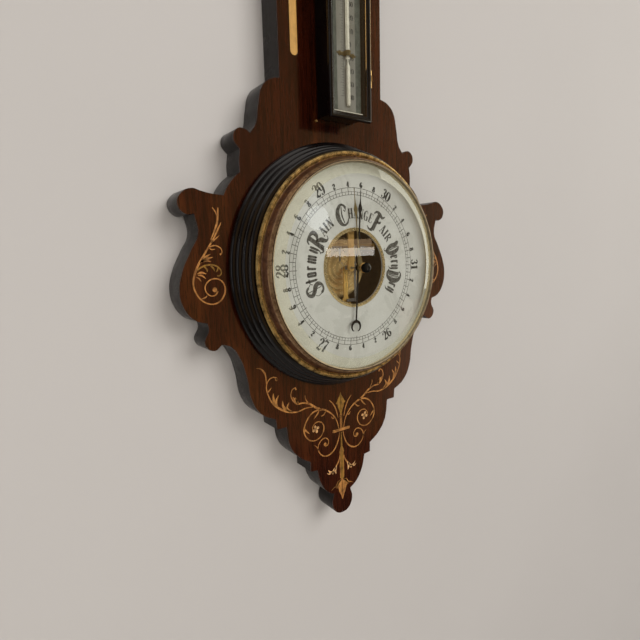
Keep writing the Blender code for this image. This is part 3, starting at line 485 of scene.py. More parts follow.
def carve(mesh, *builds):
    """The mesh after each cutter, drawn by a build function, has cut it."""
    solid = bpy.data.objects.new("carved", mesh)
    bpy.context.scene.collection.objects.link(solid)
    helpers = [solid]
    for build in builds:
        tool = bpy.data.objects.new("cutter", mesh_of("cutter", build))
        bpy.context.scene.collection.objects.link(tool)
        helpers.append(tool)
        step = solid.modifiers.new("carve", "BOOLEAN")
        step.operation = "DIFFERENCE"
        step.solver = "EXACT"
        step.object = tool
    bpy.context.view_layer.update()
    graph = bpy.context.evaluated_depsgraph_get()
    made = bpy.data.meshes.new_from_object(solid.evaluated_get(graph))
    for helper in helpers:
        bpy.data.objects.remove(helper)
    return made


def corners(points):
    """A loop for plate_mesh with a corner at every point."""
    return [(x, z, True) for x, z in points]


def circle(x, z, radius):
    """A smooth closed loop for plate_mesh."""
    return [(px, pz, False) for px, pz in arc((x, z), radius, 0, 337.5, 15)]


# ---------------------------------------------------------------- flat marks


def stroke(shape, points, place, steps=6):
    """A flat band of changing width through (x, z, width) points."""
    path = smooth_path(points, steps) if len(points) > 2 else [tuple(p) for p in points]
    last = len(path) - 1
    sides = []
    for i, (x, z, width) in enumerate(path):
        (ax, az, _), (bx, bz, _) = path[max(i - 1, 0)], path[min(i + 1, last)]
        run = math.hypot(bx - ax, bz - az) or 1
        dx, dz = -(bz - az) / run * width / 2, (bx - ax) / run * width / 2
        sides.append((shape.verts.new(place(x + dx, z + dz)), shape.verts.new(place(x - dx, z - dz))))
    for (a, b), (c, d) in zip(sides, sides[1:]):
        shape.faces.new((a, b, d, c))


def blob(shape, outline, place, steps=4):
    """A flat filled shape with a smooth edge."""
    path = smooth_path(outline, steps, closed=True)
    shape.faces.new([shape.verts.new(place(x, z)) for x, z in path])


def dot(shape, x, z, radius, place, count=14):
    shape.faces.new([shape.verts.new(place(px, pz))
                     for px, pz in arc((x, z), radius, 0, 360 - 360 / count, count - 1)])


def flat_piece(name, draw, thick, look, body="root", stands_for=()):
    """Thin marks that draw(shape) lays out, given a thickness towards the front."""

    def build(shape):
        draw(shape)
        made = bmesh.ops.extrude_face_region(shape, geom=shape.faces[:], use_keep_orig=True)
        raised = [v for v in made["geom"] if isinstance(v, bmesh.types.BMVert)]
        bmesh.ops.translate(shape, verts=raised, vec=(0, -thick * MM, 0))

    return piece(name, build, look, body, stands_for)


def on_face(height, flip=1):
    """Places marks at a height, mirrored when flip is -1."""
    return lambda x, z: point(flip * x, z, height)


# ---------------------------------------------------------------- the case

STEM_HALF, STEM_FOOT, STEM_HEAD = 63, 177.5, 430
WELL_R = 65.5
VENEER_THICK = 1.2

# The right half of the outline. Each run is smooth inside and meets the next in a corner.
FOOT_RUNS = [
    [(0, -278), (9, -275), (14, -264), (11.5, -252.5)],
    [(11.5, -252.5), (21, -246), (29, -234), (33.5, -217.5)],
    [(33.5, -217.5), (42, -216.5)],
    [(42, -216.5), (42, -205.5)],
    [(42, -205.5), (56, -196), (66, -182), (70, -159.5)],
    [(70, -159.5), (81, -159.2)],
    [(81, -159.2), (82, -148.5)],
    [(82, -148.5), (97, -140), (107, -124), (111, -101), (117, -81), (126, -68), (134.5, -65)],
    [(134.5, -65), (142.5, -69.5), (150.5, -62), (146, -49.5), (147, -44)],
    [(147, -44), (158, -40), (167, -29), (170.3, -14), (167, 2), (158, 20.5), (150.5, 35),
     (153, 52)],
    [(153, 52), (160, 51.4), (167, 60), (163, 69), (154, 73.3), (146, 71.5), (138, 69.8),
     (125, 68.5)],
    [(125, 68.5), (121, 76), (114, 84.5), (108, 89.5)],
    [(108, 89.5), (108.3, 98), (106.8, 109.5)],
]
KNOB_RUN = [(106.8, 109.5), (112.8, 118), (108.5, 127), (101, 127.5), (96, 124.7)]
SHOULDER_RUN = [(96, 124.7), (90, 133), (86.5, 150), (81.5, 167), (73, 174.5), (63, 177.5)]
CREST_RUNS = [
    [(106.8, 498), (92, 502), (74, 513), (61, 530), (53, 549)],
    [(53, 549), (44, 550)],
    [(44, 550), (43, 560)],
    [(43, 560), (39, 574), (24, 586), (0, 591)],
]


def upside_down(run):
    return [(x, STEM_FOOT + STEM_HEAD - z) for x, z in reversed(run)]


def case_outline():
    runs = FOOT_RUNS + [KNOB_RUN, SHOULDER_RUN, [(STEM_HALF, STEM_FOOT), (STEM_HALF, STEM_HEAD)]]
    runs += [upside_down(SHOULDER_RUN), upside_down(KNOB_RUN)] + CREST_RUNS
    half = []
    for run in runs:
        half.append((*run[0], True))
        half += [(x, z, False) for x, z in run[1:-1]]
    half[0] = (*runs[0][0], False)
    left = [(-x, z, is_corner) for x, z, is_corner in reversed(half[1:])]
    return half + [(*runs[-1][-1], False)] + left


STRIP_MIDDLE, STRIP_HALF = 46, 4
STRIP_FOOT, STRIP_HEAD = 200, 424


def strip_loop(side, grow):
    half = STRIP_HALF + grow
    low = arc((side * STRIP_MIDDLE, STRIP_FOOT + half), half, 180, 360, 14)
    high = arc((side * STRIP_MIDDLE, STRIP_HEAD - half), half, 0, 180, 14)
    return corners(low + high)


def build_case():
    outline = case_outline()
    board_front = top_of("case_board")
    board_back = height_of(0)
    board = plate_mesh([outline], board_back, board_front - board_back, 0.5)
    hang_z = -CENTRE_Z / MM
    pocket_half, pocket_high, pocket_deep = 17, 30, 4
    clear_of = 4
    low = point(-pocket_half, hang_z - pocket_high, board_back + pocket_deep)
    high = point(pocket_half, hang_z + pocket_high, board_back - clear_of)
    well_floor, well_top = -15.7, 5
    well = [(0, well_floor), (WELL_R, well_floor), (WELL_R, well_top), (0, well_top)]
    way_r, way_back, way_front = 8, -40, -10
    screw_way = [(0, way_back), (way_r, way_back), (way_r, way_front), (0, way_front)]
    board = carve(
        board,
        lambda shape: lathe(shape, well, closed=False),
        lambda shape: lathe(shape, screw_way, closed=False, steps=64),
        lambda shape: bar(shape, low, high, 0),
    )
    adopt("case_board_shaped", board, CASE_BLACK, stands_for=["case_board"], sharp=22)
    holes = [circle(0, 0, WELL_R), strip_loop(-1, 0.12), strip_loop(1, 0.12)]
    veneer = plate_mesh([outline] + holes, -VENEER_THICK, VENEER_THICK, 0.3)
    adopt("front_veneer_polished", veneer, ROSEWOOD, stands_for=["front_veneer"], sharp=22)
    for side, name in ((-1, "left"), (1, "right")):
        strip = plate_mesh([strip_loop(side, 0)], -VENEER_THICK, VENEER_THICK, 0.12)
        adopt("stringing_" + name, strip, STRINGING,
              stands_for=["boxwood_strip_" + name], sharp=22)


def build_back_fittings():
    """The keyhole plate and its slotted screws, sunk in the back."""
    hang_z = -CENTRE_Z / MM
    low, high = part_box("hanger_plate")
    half, middle = high.x / MM, (high.z - high.x) / MM
    outline = corners(arc((0, hang_z + middle), half, 0, 180, 20)
                      + arc((0, hang_z - middle), half, 180, 360, 20))
    wide_z, wide_r, slot_half, slot_head = hang_z - 8, 5, 2.2, hang_z + 3
    keyhole = arc((0, wide_z), wide_r, 116, 424, 28) + arc((0, slot_head - slot_half), slot_half, 0, 180, 10)
    screw_z = [hang_z - 20.5, hang_z + 20.5]
    holes = [corners(keyhole)] + [circle(0, z, 1.6) for z in screw_z]
    thick = (high.y - low.y) / MM
    plate = plate_mesh([outline] + holes, height_of(high.y), thick, 0.2)
    adopt("keyhole_plate", plate, BRASS, stands_for=["hanger_plate"], sharp=22)
    head = [(0, 0.75), (1.6, 0.7), (2.4, 0.5), (2.6, 0.2), (1.3, 0), (1.3, -9), (0, -10)]
    for name, z in zip(("lower", "upper"), screw_z):
        origin = Vector((0, -1.3 * MM, CENTRE_Z + z * MM))
        slotted_screw("hanger_screw_slotted_" + name, head, origin, "back", "hanger_screw_" + name, 30)
    adjust = "adjusting_screw"
    low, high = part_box(adjust)
    length = (high.y - low.y) / MM
    profile = [(0, 0), (4.6, 0), (5, -0.4), (5, -2.6), (2.2, -3), (2.2, -length), (0, -length)]
    slotted_screw("adjusting_screw_turned", profile, Vector((0, high.y, CENTRE_Z)), "back", adjust, 90,
                  body="adjuster", width=1.0, deep=1.0)


def slotted_screw(name, profile, origin, axis, node, turn, body="root", width=0.6, deep=0.45):
    """A turned steel screw with its slot turned by some degrees."""
    mesh = mesh_of(name, lambda shape: lathe(shape, eased(profile, 0.15, False), origin, axis, 48, False))
    along = Vector(AXES[axis][0])
    reach = max(radius for radius, _ in profile) + 1
    middle = origin + along * (max(height for _, height in profile) * MM)

    def slot(cutter):
        bar(cutter, (-reach * MM, -deep * MM, -width / 2 * MM), (reach * MM, deep * MM, width / 2 * MM), 0)
        move = Matrix.Translation(middle) @ Matrix.Rotation(math.radians(turn), 4, "Y")
        bmesh.ops.transform(cutter, matrix=move, verts=cutter.verts)

    adopt(name, carve(mesh, slot), STEEL, body, [node])


# ---------------------------------------------------------------- the inlay

PROUD = 0.06

# The left half of the inlay, as strokes of (x, z, width).
RING = [(-3.5, -177, 0.9), (-5.5, -169, 1.1), (-9.5, -162, 1.3), (-16, -155.5, 1.6), (-24, -151, 1.9),
        (-31, -150, 1.8), (-38.5, -152, 1.6), (-45, -158, 1.5), (-49, -167, 1.7), (-47.5, -175, 1.4),
        (-42, -181, 1.2), (-35, -183, 1.2), (-27.5, -180, 1.2), (-23.6, -173, 1.3), (-24.6, -167, 1.2),
        (-29, -163.4, 1.1), (-34.5, -163.6, 1.0), (-38.2, -167.5, 0.9), (-37.6, -171.5, 1.0)]
TAN_STROKES = [
    RING,
    [(-26, -150.2, 1.2), (-33, -146.8, 2.2), (-41, -141, 2.0), (-49, -138.3, 1.4), (-56, -137.6, 1.7),
     (-61, -133.5, 1.6), (-63.6, -127.5, 1.2), (-62, -122, 1.0), (-58.5, -120.2, 1.2), (-57, -122.6, 1.8)],
    [(-36, -145.2, 0.5), (-46, -144.6, 1.2), (-57, -146.2, 1.3), (-68, -143.4, 2.2), (-77, -138.4, 2.2),
     (-84.5, -131.5, 1.6), (-89.5, -122, 1.2), (-91.2, -113, 1.1), (-88.6, -106.8, 1.0),
     (-83.5, -104.6, 1.1), (-79.2, -106.4, 1.6), (-79, -108.2, 1.9)],
    [(-91, -110, 0.6), (-91.4, -103, 1.2), (-92.6, -98.4, 1.8), (-96.4, -94, 1.2), (-101, -92.6, 0.3)],
    [(-46.5, -130.5, 0.3), (-45.8, -135, 0.9), (-42, -140.4, 1.2)],
    [(-15.5, -142.4, 0.5), (-11, -147, 1.2), (-7, -154, 1.3), (-4, -164.5, 0.6)],
    [(-2.6, -182, 0.8), (-3.6, -188, 1.1), (-7, -196, 1.5), (-12.5, -202, 1.7), (-19.5, -204.6, 1.4),
     (-26.5, -202.4, 1.2), (-31.4, -196, 1.2), (-31.2, -189.4, 1.1), (-27, -184.6, 1.1),
     (-21.6, -183.6, 1.0), (-17.8, -187.4, 0.9), (-18.8, -192, 1.0), (-22.6, -192.6, 1.6)],
    [(-31, -195.6, 1.2), (-33.6, -190.6, 0.8), (-36.6, -188.2, 0.3)],
    [(-1.6, -202, 0.8), (-2.8, -210, 1.0), (-5, -216, 1.6), (-8.6, -220.6, 1.6)],
    [(-1.2, -161, 0.5), (-0.9, -170, 0.8), (-0.9, -178, 0.9)],
    [(-2.2, -206, 0.4), (-2.6, -222, 0.7), (-2.4, -236, 0.7)],
    [(-6.6, -246.6, 0.5), (-10.6, -244.4, 1.0), (-15.4, -246.8, 0.3)],
    [(-49, -166, 0.8), (-46.6, -169.4, 2.0), (-42.4, -173.4, 0.4)],
    [(-28.6, -150, 0.6), (-31.6, -154.4, 1.6), (-36.4, -158.8, 0.4)],
    [(-20, -153, 0.6), (-23.4, -157, 1.4), (-27, -157.6, 0.3)],
    [(-8.4, -163.4, 0.6), (-11.4, -163.8, 1.4), (-13.4, -161.2, 0.3)],
    [(-65, -144.6, 0.8), (-72.6, -137.6, 2.8), (-73.6, -130.6, 0.3)],
    [(-62, -145, 0.8), (-68.6, -140, 2.4), (-66, -134, 0.3)],
    [(-81.6, -134, 0.8), (-83.8, -127.6, 2.8), (-83.8, -121, 0.4)],
    [(-79.6, -135.6, 0.8), (-80.8, -129.4, 2.2), (-77.8, -124, 0.3)],
    [(-90.4, -119.4, 0.6), (-88.6, -117.6, 1.4), (-85.4, -114.6, 0.3)],
    [(-54.6, -138, 0.8), (-58.2, -133.2, 2.8), (-61.6, -129.4, 0.3)],
    [(-56, -138, 0.6), (-57, -134, 2.0), (-58.4, -130.4, 0.3)],
    [(-1.2, -238, 1.0), (-5, -240.4, 2.0), (-8, -244.6, 1.0)],
]
CREAM_STROKES = [
    [(-7.6, -219.6, 1.0), (-9.4, -224, 3.0), (-8.4, -229, 0.6)],
    [(-8.6, -221, 1.6), (-12.4, -225.6, 3.0), (-13, -228.6, 0.6)],
    [(-11, -225.6, 1.6), (-16, -225.2, 2.4), (-19, -221.8, 0.6)],
    [(-14, -225.6, 1.0), (-17.8, -226.6, 1.4), (-20.4, -225, 0.4)],
]
SIDE_STEM = [(-128.8, 45, 0.5), (-132.4, 38.6, 1.5), (-137, 30.6, 1.3), (-142, 23.4, 1.5),
             (-147.6, 15.2, 1.8), (-152.8, 7.2, 2.0), (-156.6, -1.6, 1.8), (-157.6, -10, 1.5),
             (-154.8, -18, 1.3), (-149.4, -24, 1.2), (-142, -26.9, 1.2), (-134.8, -25.4, 1.3),
             (-129.8, -19.8, 1.5), (-128.5, -13, 1.4),
             (-131, -7.2, 1.2), (-136.4, -4.4, 1.1), (-142.6, -5.4, 1.1), (-146.9, -10, 1.1),
             (-146.6, -15.6, 1.0), (-142.4, -19.4, 0.9), (-138, -18.9, 1.0), (-135.6, -15.6, 1.6)]
SIDE_TAN = [
    SIDE_STEM,
    [(-131, 57.6, 0.9), (-131.6, 52, 1.6), (-132.6, 45, 1.7), (-135.6, 37.4, 1.5), (-139.4, 29.6, 0.6)],
    [(-136.4, 57.6, 0.8), (-134, 54.4, 1.0), (-132.4, 50.4, 0.6)],
    [(-139.4, 27.4, 0.6), (-136.8, 29.2, 1.2), (-131.4, 33.4, 0.4)],
    [(-142.4, 22.6, 0.6), (-138.8, 24.4, 0.9), (-134.6, 24.6, 1.0), (-130.6, 22.2, 0.9), (-129.6, 18.6, 1.0),
     (-131.6, 16.6, 1.5)],
    [(-141.4, 22.8, 0.4), (-139.4, 21.4, 0.9), (-135.8, 21.6, 0.3)],
    [(-150.6, 10, 0.8), (-145.6, 14.6, 2.2), (-140.6, 17.4, 0.5)],
    [(-150.2, 10.2, 0.8), (-144.6, 13.2, 2.4), (-138.6, 14.6, 0.4)],
    [(-149.6, 10.8, 0.8), (-144.8, 11.6, 1.6), (-140.4, 10.8, 0.4)],
    [(-153.6, 0.6, 0.6), (-149.8, 1.6, 1.8), (-145.4, 0.2, 0.4)],
    [(-153, -0.6, 0.6), (-149.6, -1, 1.5), (-146.2, -3.8, 0.4)],
    [(-155, -2, 0.5), (-152.4, -3.4, 1.1), (-150.6, -6, 0.3)],
    [(-151.6, -21.6, 0.6), (-147.6, -20.4, 1.2), (-145.8, -18.8, 0.3)],
]
SIDE_OLIVE = [
    [(-154.6, 2.6, 0.6), (-150.4, 5.8, 1.4), (-144.6, 7.8, 1.6), (-138, 7.6, 1.4), (-133, 4.8, 1.2),
     (-131.2, 0.8, 1.1), (-133, -2, 1.0), (-135.4, -1.8, 1.2)],
    [(-147, 6.8, 0.8), (-144.6, 4, 1.5), (-144.4, 1.8, 0.3)],
    [(-141.4, 7.6, 0.8), (-138.6, 4.8, 1.5), (-137.6, 2.4, 0.3)],
    [(-134.4, 5.6, 0.6), (-134.8, 3, 1.2), (-136.6, 1.4, 0.3)],
]

# The right halves of the filled shapes on the middle line.
BUD = [(0, -136.6), (1.5, -140.4), (3.2, -142.6), (4.6, -145.6), (6.6, -148.2), (4.6, -149.6), (3.8, -153),
       (2, -157), (0, -163)]
SHEATH = [(0, -197), (1.6, -200), (3.4, -205), (2.2, -210), (2.7, -222), (2.4, -236), (0, -237.5)]
DROP = [(0, -236.8), (3.4, -238), (6.6, -239.6), (9.6, -244), (8.4, -246.6), (5.6, -247.6), (4.6, -252),
        (2, -257), (0, -262.5)]
BUD_VEINS = [
    [(0, -139.5, 0.3), (0, -148, 0.7), (0, -158, 0.4)],
    [(3.6, -146.6, 0.3), (2.2, -150, 0.5), (0.8, -155, 0.3)],
]
DROP_VEINS = [
    [(0, -240, 0.4), (0, -249, 0.8), (0, -259, 0.4)],
    [(6.2, -242, 0.3), (3.4, -246.4, 0.6), (1.8, -252, 0.3)],
]


def both_sides(shape, strokes, height):
    """The strokes, and their mirror image."""
    for flip in (1, -1):
        for points in strokes:
            stroke(shape, points, on_face(height, flip))


def mirrored(half):
    """A closed outline from its right half, whose ends lie on the middle line."""
    return half + [(-x, z) for x, z in reversed(half[1:-1])]


def rosette(shape, x, z, height, flip):
    """Four rounded petals and an eye."""
    place = on_face(height, flip)
    for turn in (20, 110, 200, 290):
        lean = math.radians(turn)
        cx, cz = x + 2.5 * math.cos(lean), z + 2.5 * math.sin(lean)
        petal = []
        for k in range(10):
            a = 2 * math.pi * k / 10
            u, v = 2.1 * math.cos(a), (1.45 + 0.35 * math.cos(a)) * math.sin(a)
            petal.append((cx + u * math.cos(lean) - v * math.sin(lean),
                          cz + u * math.sin(lean) + v * math.cos(lean)))
        blob(shape, petal, place, 3)
    dot(shape, x, z, 1.3, place)


def build_inlay():
    """Scrolls, flowers and buds, drawn on the face and raised by a hair."""
    foot = 0.0

    def tan(shape):
        both_sides(shape, TAN_STROKES + SIDE_TAN, foot)
        for flip in (1, -1):
            for x, z, radius in ((-22.6, -190.6, 1.9), (-138.4, -14.2, 2.2), (-79.6, -107.6, 1.5)):
                dot(shape, x, z, radius, on_face(foot, flip))
        stroke(shape, [(-11.6, -179.2, 1.8), (-10.2, -179.2, 3.2), (10.2, -179.2, 3.2), (11.6, -179.2, 1.8)],
               on_face(foot), 2)
        blob(shape, mirrored(DROP), on_face(foot))

    def cream(shape):
        both_sides(shape, CREAM_STROKES, foot)
        for flip in (1, -1):
            rosette(shape, -34, -170.6, foot, flip)

    def olive(shape):
        both_sides(shape, SIDE_OLIVE, foot)
        blob(shape, mirrored(BUD), on_face(foot))
        blob(shape, mirrored(SHEATH), on_face(foot))
        stroke(shape, [(0, -182, 1.2), (0, -198, 2.4)], on_face(foot))

    flat_piece("inlay_scrolls", tan, PROUD, TAN)
    flat_piece("inlay_flowers", cream, PROUD * 1.15, CREAM)
    flat_piece("inlay_buds", olive, PROUD * 0.9, OLIVE)
    flat_piece("inlay_bud_veins", lambda shape: both_sides(shape, BUD_VEINS, PROUD * 0.9), 0.02, TAN)
    flat_piece("inlay_drop_veins", lambda shape: both_sides(shape, DROP_VEINS, PROUD), 0.02, OLIVE)


# ---------------------------------------------------------------- surround, bezel and glass

GLASS_R, GLASS_FRONT, GLASS_THICK, GLASS_EDGE, GLASS_BEVEL = 103.2, 42, 6, 2.2, 13.5
BEZEL_R, LIP_R, SURROUND_R, SURROUND_HIGH = 112.3, 100.2, 125, 27
GLASS_BACK = GLASS_FRONT - GLASS_THICK
DIAL_FACE = top_of("dial_plate")


def build_surround():
    """The turned drum, its reeds stepping in towards the bezel."""
    reeds, foot = 4, 0.3
    head_r = BEZEL_R + 1
    rise = (SURROUND_HIGH - foot) / reeds
    step = (SURROUND_R - head_r) / reeds
    outer = []
    for i in range(reeds):
        middle = (SURROUND_R - i * step - 3, foot + (i + 0.5) * rise)
        outer += arc(middle, 3.1, -68, 68, 14)
    inner_r = GLASS_R + 2.6
    profile = [(inner_r, foot), (SURROUND_R - 2.2, foot)] + outer
    profile += [(head_r - 3, SURROUND_HIGH - 0.3), (inner_r, SURROUND_HIGH - 0.3)]
    turned("dial_surround_reeded", profile, DRUM_BLACK, slot="ebonised_wood",
           stands_for=["dial_surround"], steps=192)


def build_bezel():
    """The spun bezel: bead, hollow, rise and lip, each with its own finish, and its three pins."""
    low = SURROUND_HIGH + 0.3
    bead = arc((BEZEL_R - 2.2, low + 2.6), 2.3, -60, 128, 12)
    slope = [(BEZEL_R - 4.6, low + 3.4), (BEZEL_R - 5.6, low + 4.3), (GLASS_R + 2.5, low + 7.2),
             (GLASS_R + 2.1, low + 9.6), (GLASS_R + 1.4, low + 11.5), (LIP_R + 3.5, low + 12.7)]
    lip = arc((LIP_R + 1.7, low + 12.9), 1.4, 50, 175, 9)
    edge = GLASS_BACK + GLASS_EDGE
    profile = [(GLASS_R + 0.5, low)] + bead + smooth_path(slope, 3) + lip
    profile += [(LIP_R, edge + 1.2), (GLASS_R + 0.5, edge + 0.5)]

    def finish_at(radius, height):
        if radius > BEZEL_R - 4.9:
            return 0
        if height < low + 3 or height < low + 10.2 and radius > GLASS_R:
            return 1
        return 2 if radius > LIP_R + 2.6 else 3 if radius > LIP_R + 2.0 else 4

    turned("bezel_spun", profile, [GILT, GILT_DARK, GILT_SPECKLED, BLACK_LINE, LIP_GILT],
           slot="gilt_brass", stands_for=["bezel"], steps=192, finish_at=finish_at)
    for angle in (90, 210, 330):
        name = "bezel_pin_%03d" % angle
        low_pin, high_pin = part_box(name)
        origin = (low_pin + high_pin) / 2
        origin.y = high_pin.y
        length = (high_pin.y - low_pin.y) / MM
        dome = [(0, length)] + arc((0, length - 1.1), 1.1, 70, 0, 5) + [(1.1, 0), (0, 0)]
        turned("bezel_pin_domed_%03d" % angle, dome, GILT_DARK, slot="gilt_brass", stands_for=[name],
               origin=origin, steps=24, closed=False)


def lit_through(made):
    """Lets light through glass to what lies behind it."""
    made.visible_shadow = False
    made.visible_diffuse = False
    return made


def build_glass():
    """The bevelled glass, drilled for the set hand, on its spacer ring."""
    hole = 2.6
    shoulder = GLASS_R - GLASS_BEVEL
    profile = [(hole, GLASS_FRONT), (shoulder, GLASS_FRONT), (GLASS_R, GLASS_BACK + GLASS_EDGE),
               (GLASS_R, GLASS_BACK), (hole, GLASS_BACK)]

    def finish_at(radius, height):
        return int(radius > shoulder + 0.3 and height > GLASS_BACK + GLASS_EDGE)

    lit_through(turned("crystal_bevelled", profile, [GLASS, BEVEL_GLASS_PAINTED_REFLECTION], slot="clear_glass",
                       stands_for=["bevelled_glass"], steps=192, ease=0.12, sharp=3, finish_at=finish_at))
    inner_r, top, foot = 101.6, GLASS_BACK - 0.3, DIAL_FACE + 0.3
    spacer = [(inner_r, top), (GLASS_R, top), (GLASS_R, foot), (inner_r, foot)]
    turned("spacer_ring", spacer, RING_GILT, slot="gilt_brass", stands_for=["glass_spacer_ring"],
           steps=192, ease=0.2)


# ---------------------------------------------------------------- the dial

DIAL_R, HOLE_R = 102, 36.7
RING_IN, RING_MID, RING_OUT = 71.3, 74.2, 78.0
NUMBER_R, TENTH_R = 84.0, 81.4
NUMBER_HIGH, TENTH_HIGH = 10.2, 5.2
DEGREES_PER_INCH = 60
TOP_INCHES = 29.5

# Strokes of (x, z, width) in a glyph one unit high.
DIGITS = {
    "0": [[(0.3, 0.98, 0.05), (0.14, 0.85, 0.14), (0.09, 0.5, 0.2), (0.14, 0.15, 0.14), (0.3, 0.02, 0.05)],
          [(0.3, 0.98, 0.05), (0.46, 0.85, 0.14), (0.51, 0.5, 0.2), (0.46, 0.15, 0.14), (0.3, 0.02, 0.05)]],
    "1": [[(0.3, 0.02, 0.2), (0.3, 0.98, 0.2)], [(0.08, 0.02, 0.05), (0.52, 0.02, 0.05)],
          [(0.08, 0.84, 0.05), (0.2, 0.9, 0.1), (0.3, 0.97, 0.06)]],
    "2": [[(0.15, 0.72, 0.2), (0.12, 0.8, 0.14), (0.2, 0.93, 0.06), (0.33, 0.97, 0.08), (0.46, 0.85, 0.18),
           (0.45, 0.66, 0.18), (0.3, 0.42, 0.1), (0.13, 0.2, 0.06), (0.07, 0.05, 0.05)],
          [(0.07, 0.1, 0.12), (0.2, 0.16, 0.17), (0.36, 0.08, 0.16), (0.48, 0.09, 0.1), (0.54, 0.26, 0.04)]],
    "3": [[(0.14, 0.78, 0.18), (0.18, 0.93, 0.06), (0.3, 0.97, 0.08), (0.43, 0.84, 0.17), (0.41, 0.64, 0.13),
           (0.26, 0.53, 0.05)],
          [(0.26, 0.53, 0.05), (0.43, 0.44, 0.14), (0.48, 0.26, 0.2), (0.42, 0.08, 0.13), (0.27, 0.02, 0.06),
           (0.14, 0.08, 0.08), (0.12, 0.22, 0.17)]],
    "4": [[(0.36, 0.97, 0.08), (0.06, 0.3, 0.05)], [(0.04, 0.28, 0.07), (0.58, 0.28, 0.07)],
          [(0.4, 0.02, 0.18), (0.4, 0.97, 0.18)], [(0.22, 0.02, 0.05), (0.58, 0.02, 0.05)]],
    "5": [[(0.14, 0.96, 0.05), (0.28, 0.9, 0.14), (0.42, 0.91, 0.12), (0.52, 0.98, 0.04)],
          [(0.14, 0.97, 0.05), (0.13, 0.54, 0.05)],
          [(0.13, 0.54, 0.05), (0.27, 0.61, 0.07), (0.44, 0.52, 0.15), (0.5, 0.3, 0.2), (0.42, 0.09, 0.13),
           (0.26, 0.02, 0.06), (0.14, 0.09, 0.08), (0.13, 0.21, 0.16)]],
    "6": [[(0.46, 0.8, 0.16), (0.42, 0.94, 0.06), (0.29, 0.96, 0.07), (0.15, 0.78, 0.15), (0.1, 0.46, 0.19),
           (0.15, 0.18, 0.16), (0.29, 0.02, 0.06), (0.43, 0.12, 0.14), (0.49, 0.3, 0.19), (0.43, 0.49, 0.13),
           (0.31, 0.57, 0.05), (0.17, 0.46, 0.05)]],
    "7": [[(0.08, 0.74, 0.04), (0.1, 0.88, 0.1), (0.22, 0.94, 0.16), (0.38, 0.88, 0.14), (0.52, 0.96, 0.05)],
          [(0.52, 0.96, 0.05), (0.4, 0.62, 0.09), (0.29, 0.32, 0.17), (0.28, 0.04, 0.2)]],
    "8": [[(0.3, 0.98, 0.05), (0.45, 0.9, 0.12), (0.44, 0.68, 0.14), (0.28, 0.53, 0.1), (0.12, 0.38, 0.15),
           (0.1, 0.18, 0.16), (0.3, 0.02, 0.05)],
          [(0.3, 0.98, 0.05), (0.16, 0.9, 0.12), (0.15, 0.7, 0.14), (0.32, 0.53, 0.1), (0.48, 0.36, 0.15),
           (0.49, 0.16, 0.16), (0.3, 0.02, 0.05)]],
}
DIGITS["9"] = [[(0.6 - x, 1 - z, width) for x, z, width in line] for line in DIGITS["6"]]
DIGIT_WIDTH = 0.6


def serifs(*feet):
    """Hairline serifs, given as (x, z) middles."""
    return [[(x - 0.15, z, 0.06), (x + 0.15, z, 0.06)] for x, z in feet]


def minim(x, foot=0.0, head=1.0):
    """A broad-pen upright with lozenge ends."""
    return [[(x - 0.1, head - 0.06, 0.05), (x, head - 0.1, 0.22), (x, foot + 0.1, 0.22),
             (x + 0.12, foot + 0.05, 0.05)],
            [(x - 0.12, head - 0.16, 0.1), (x + 0.08, head - 0.04, 0.12)],
            [(x - 0.06, foot + 0.04, 0.12), (x + 0.14, foot + 0.15, 0.1)]]


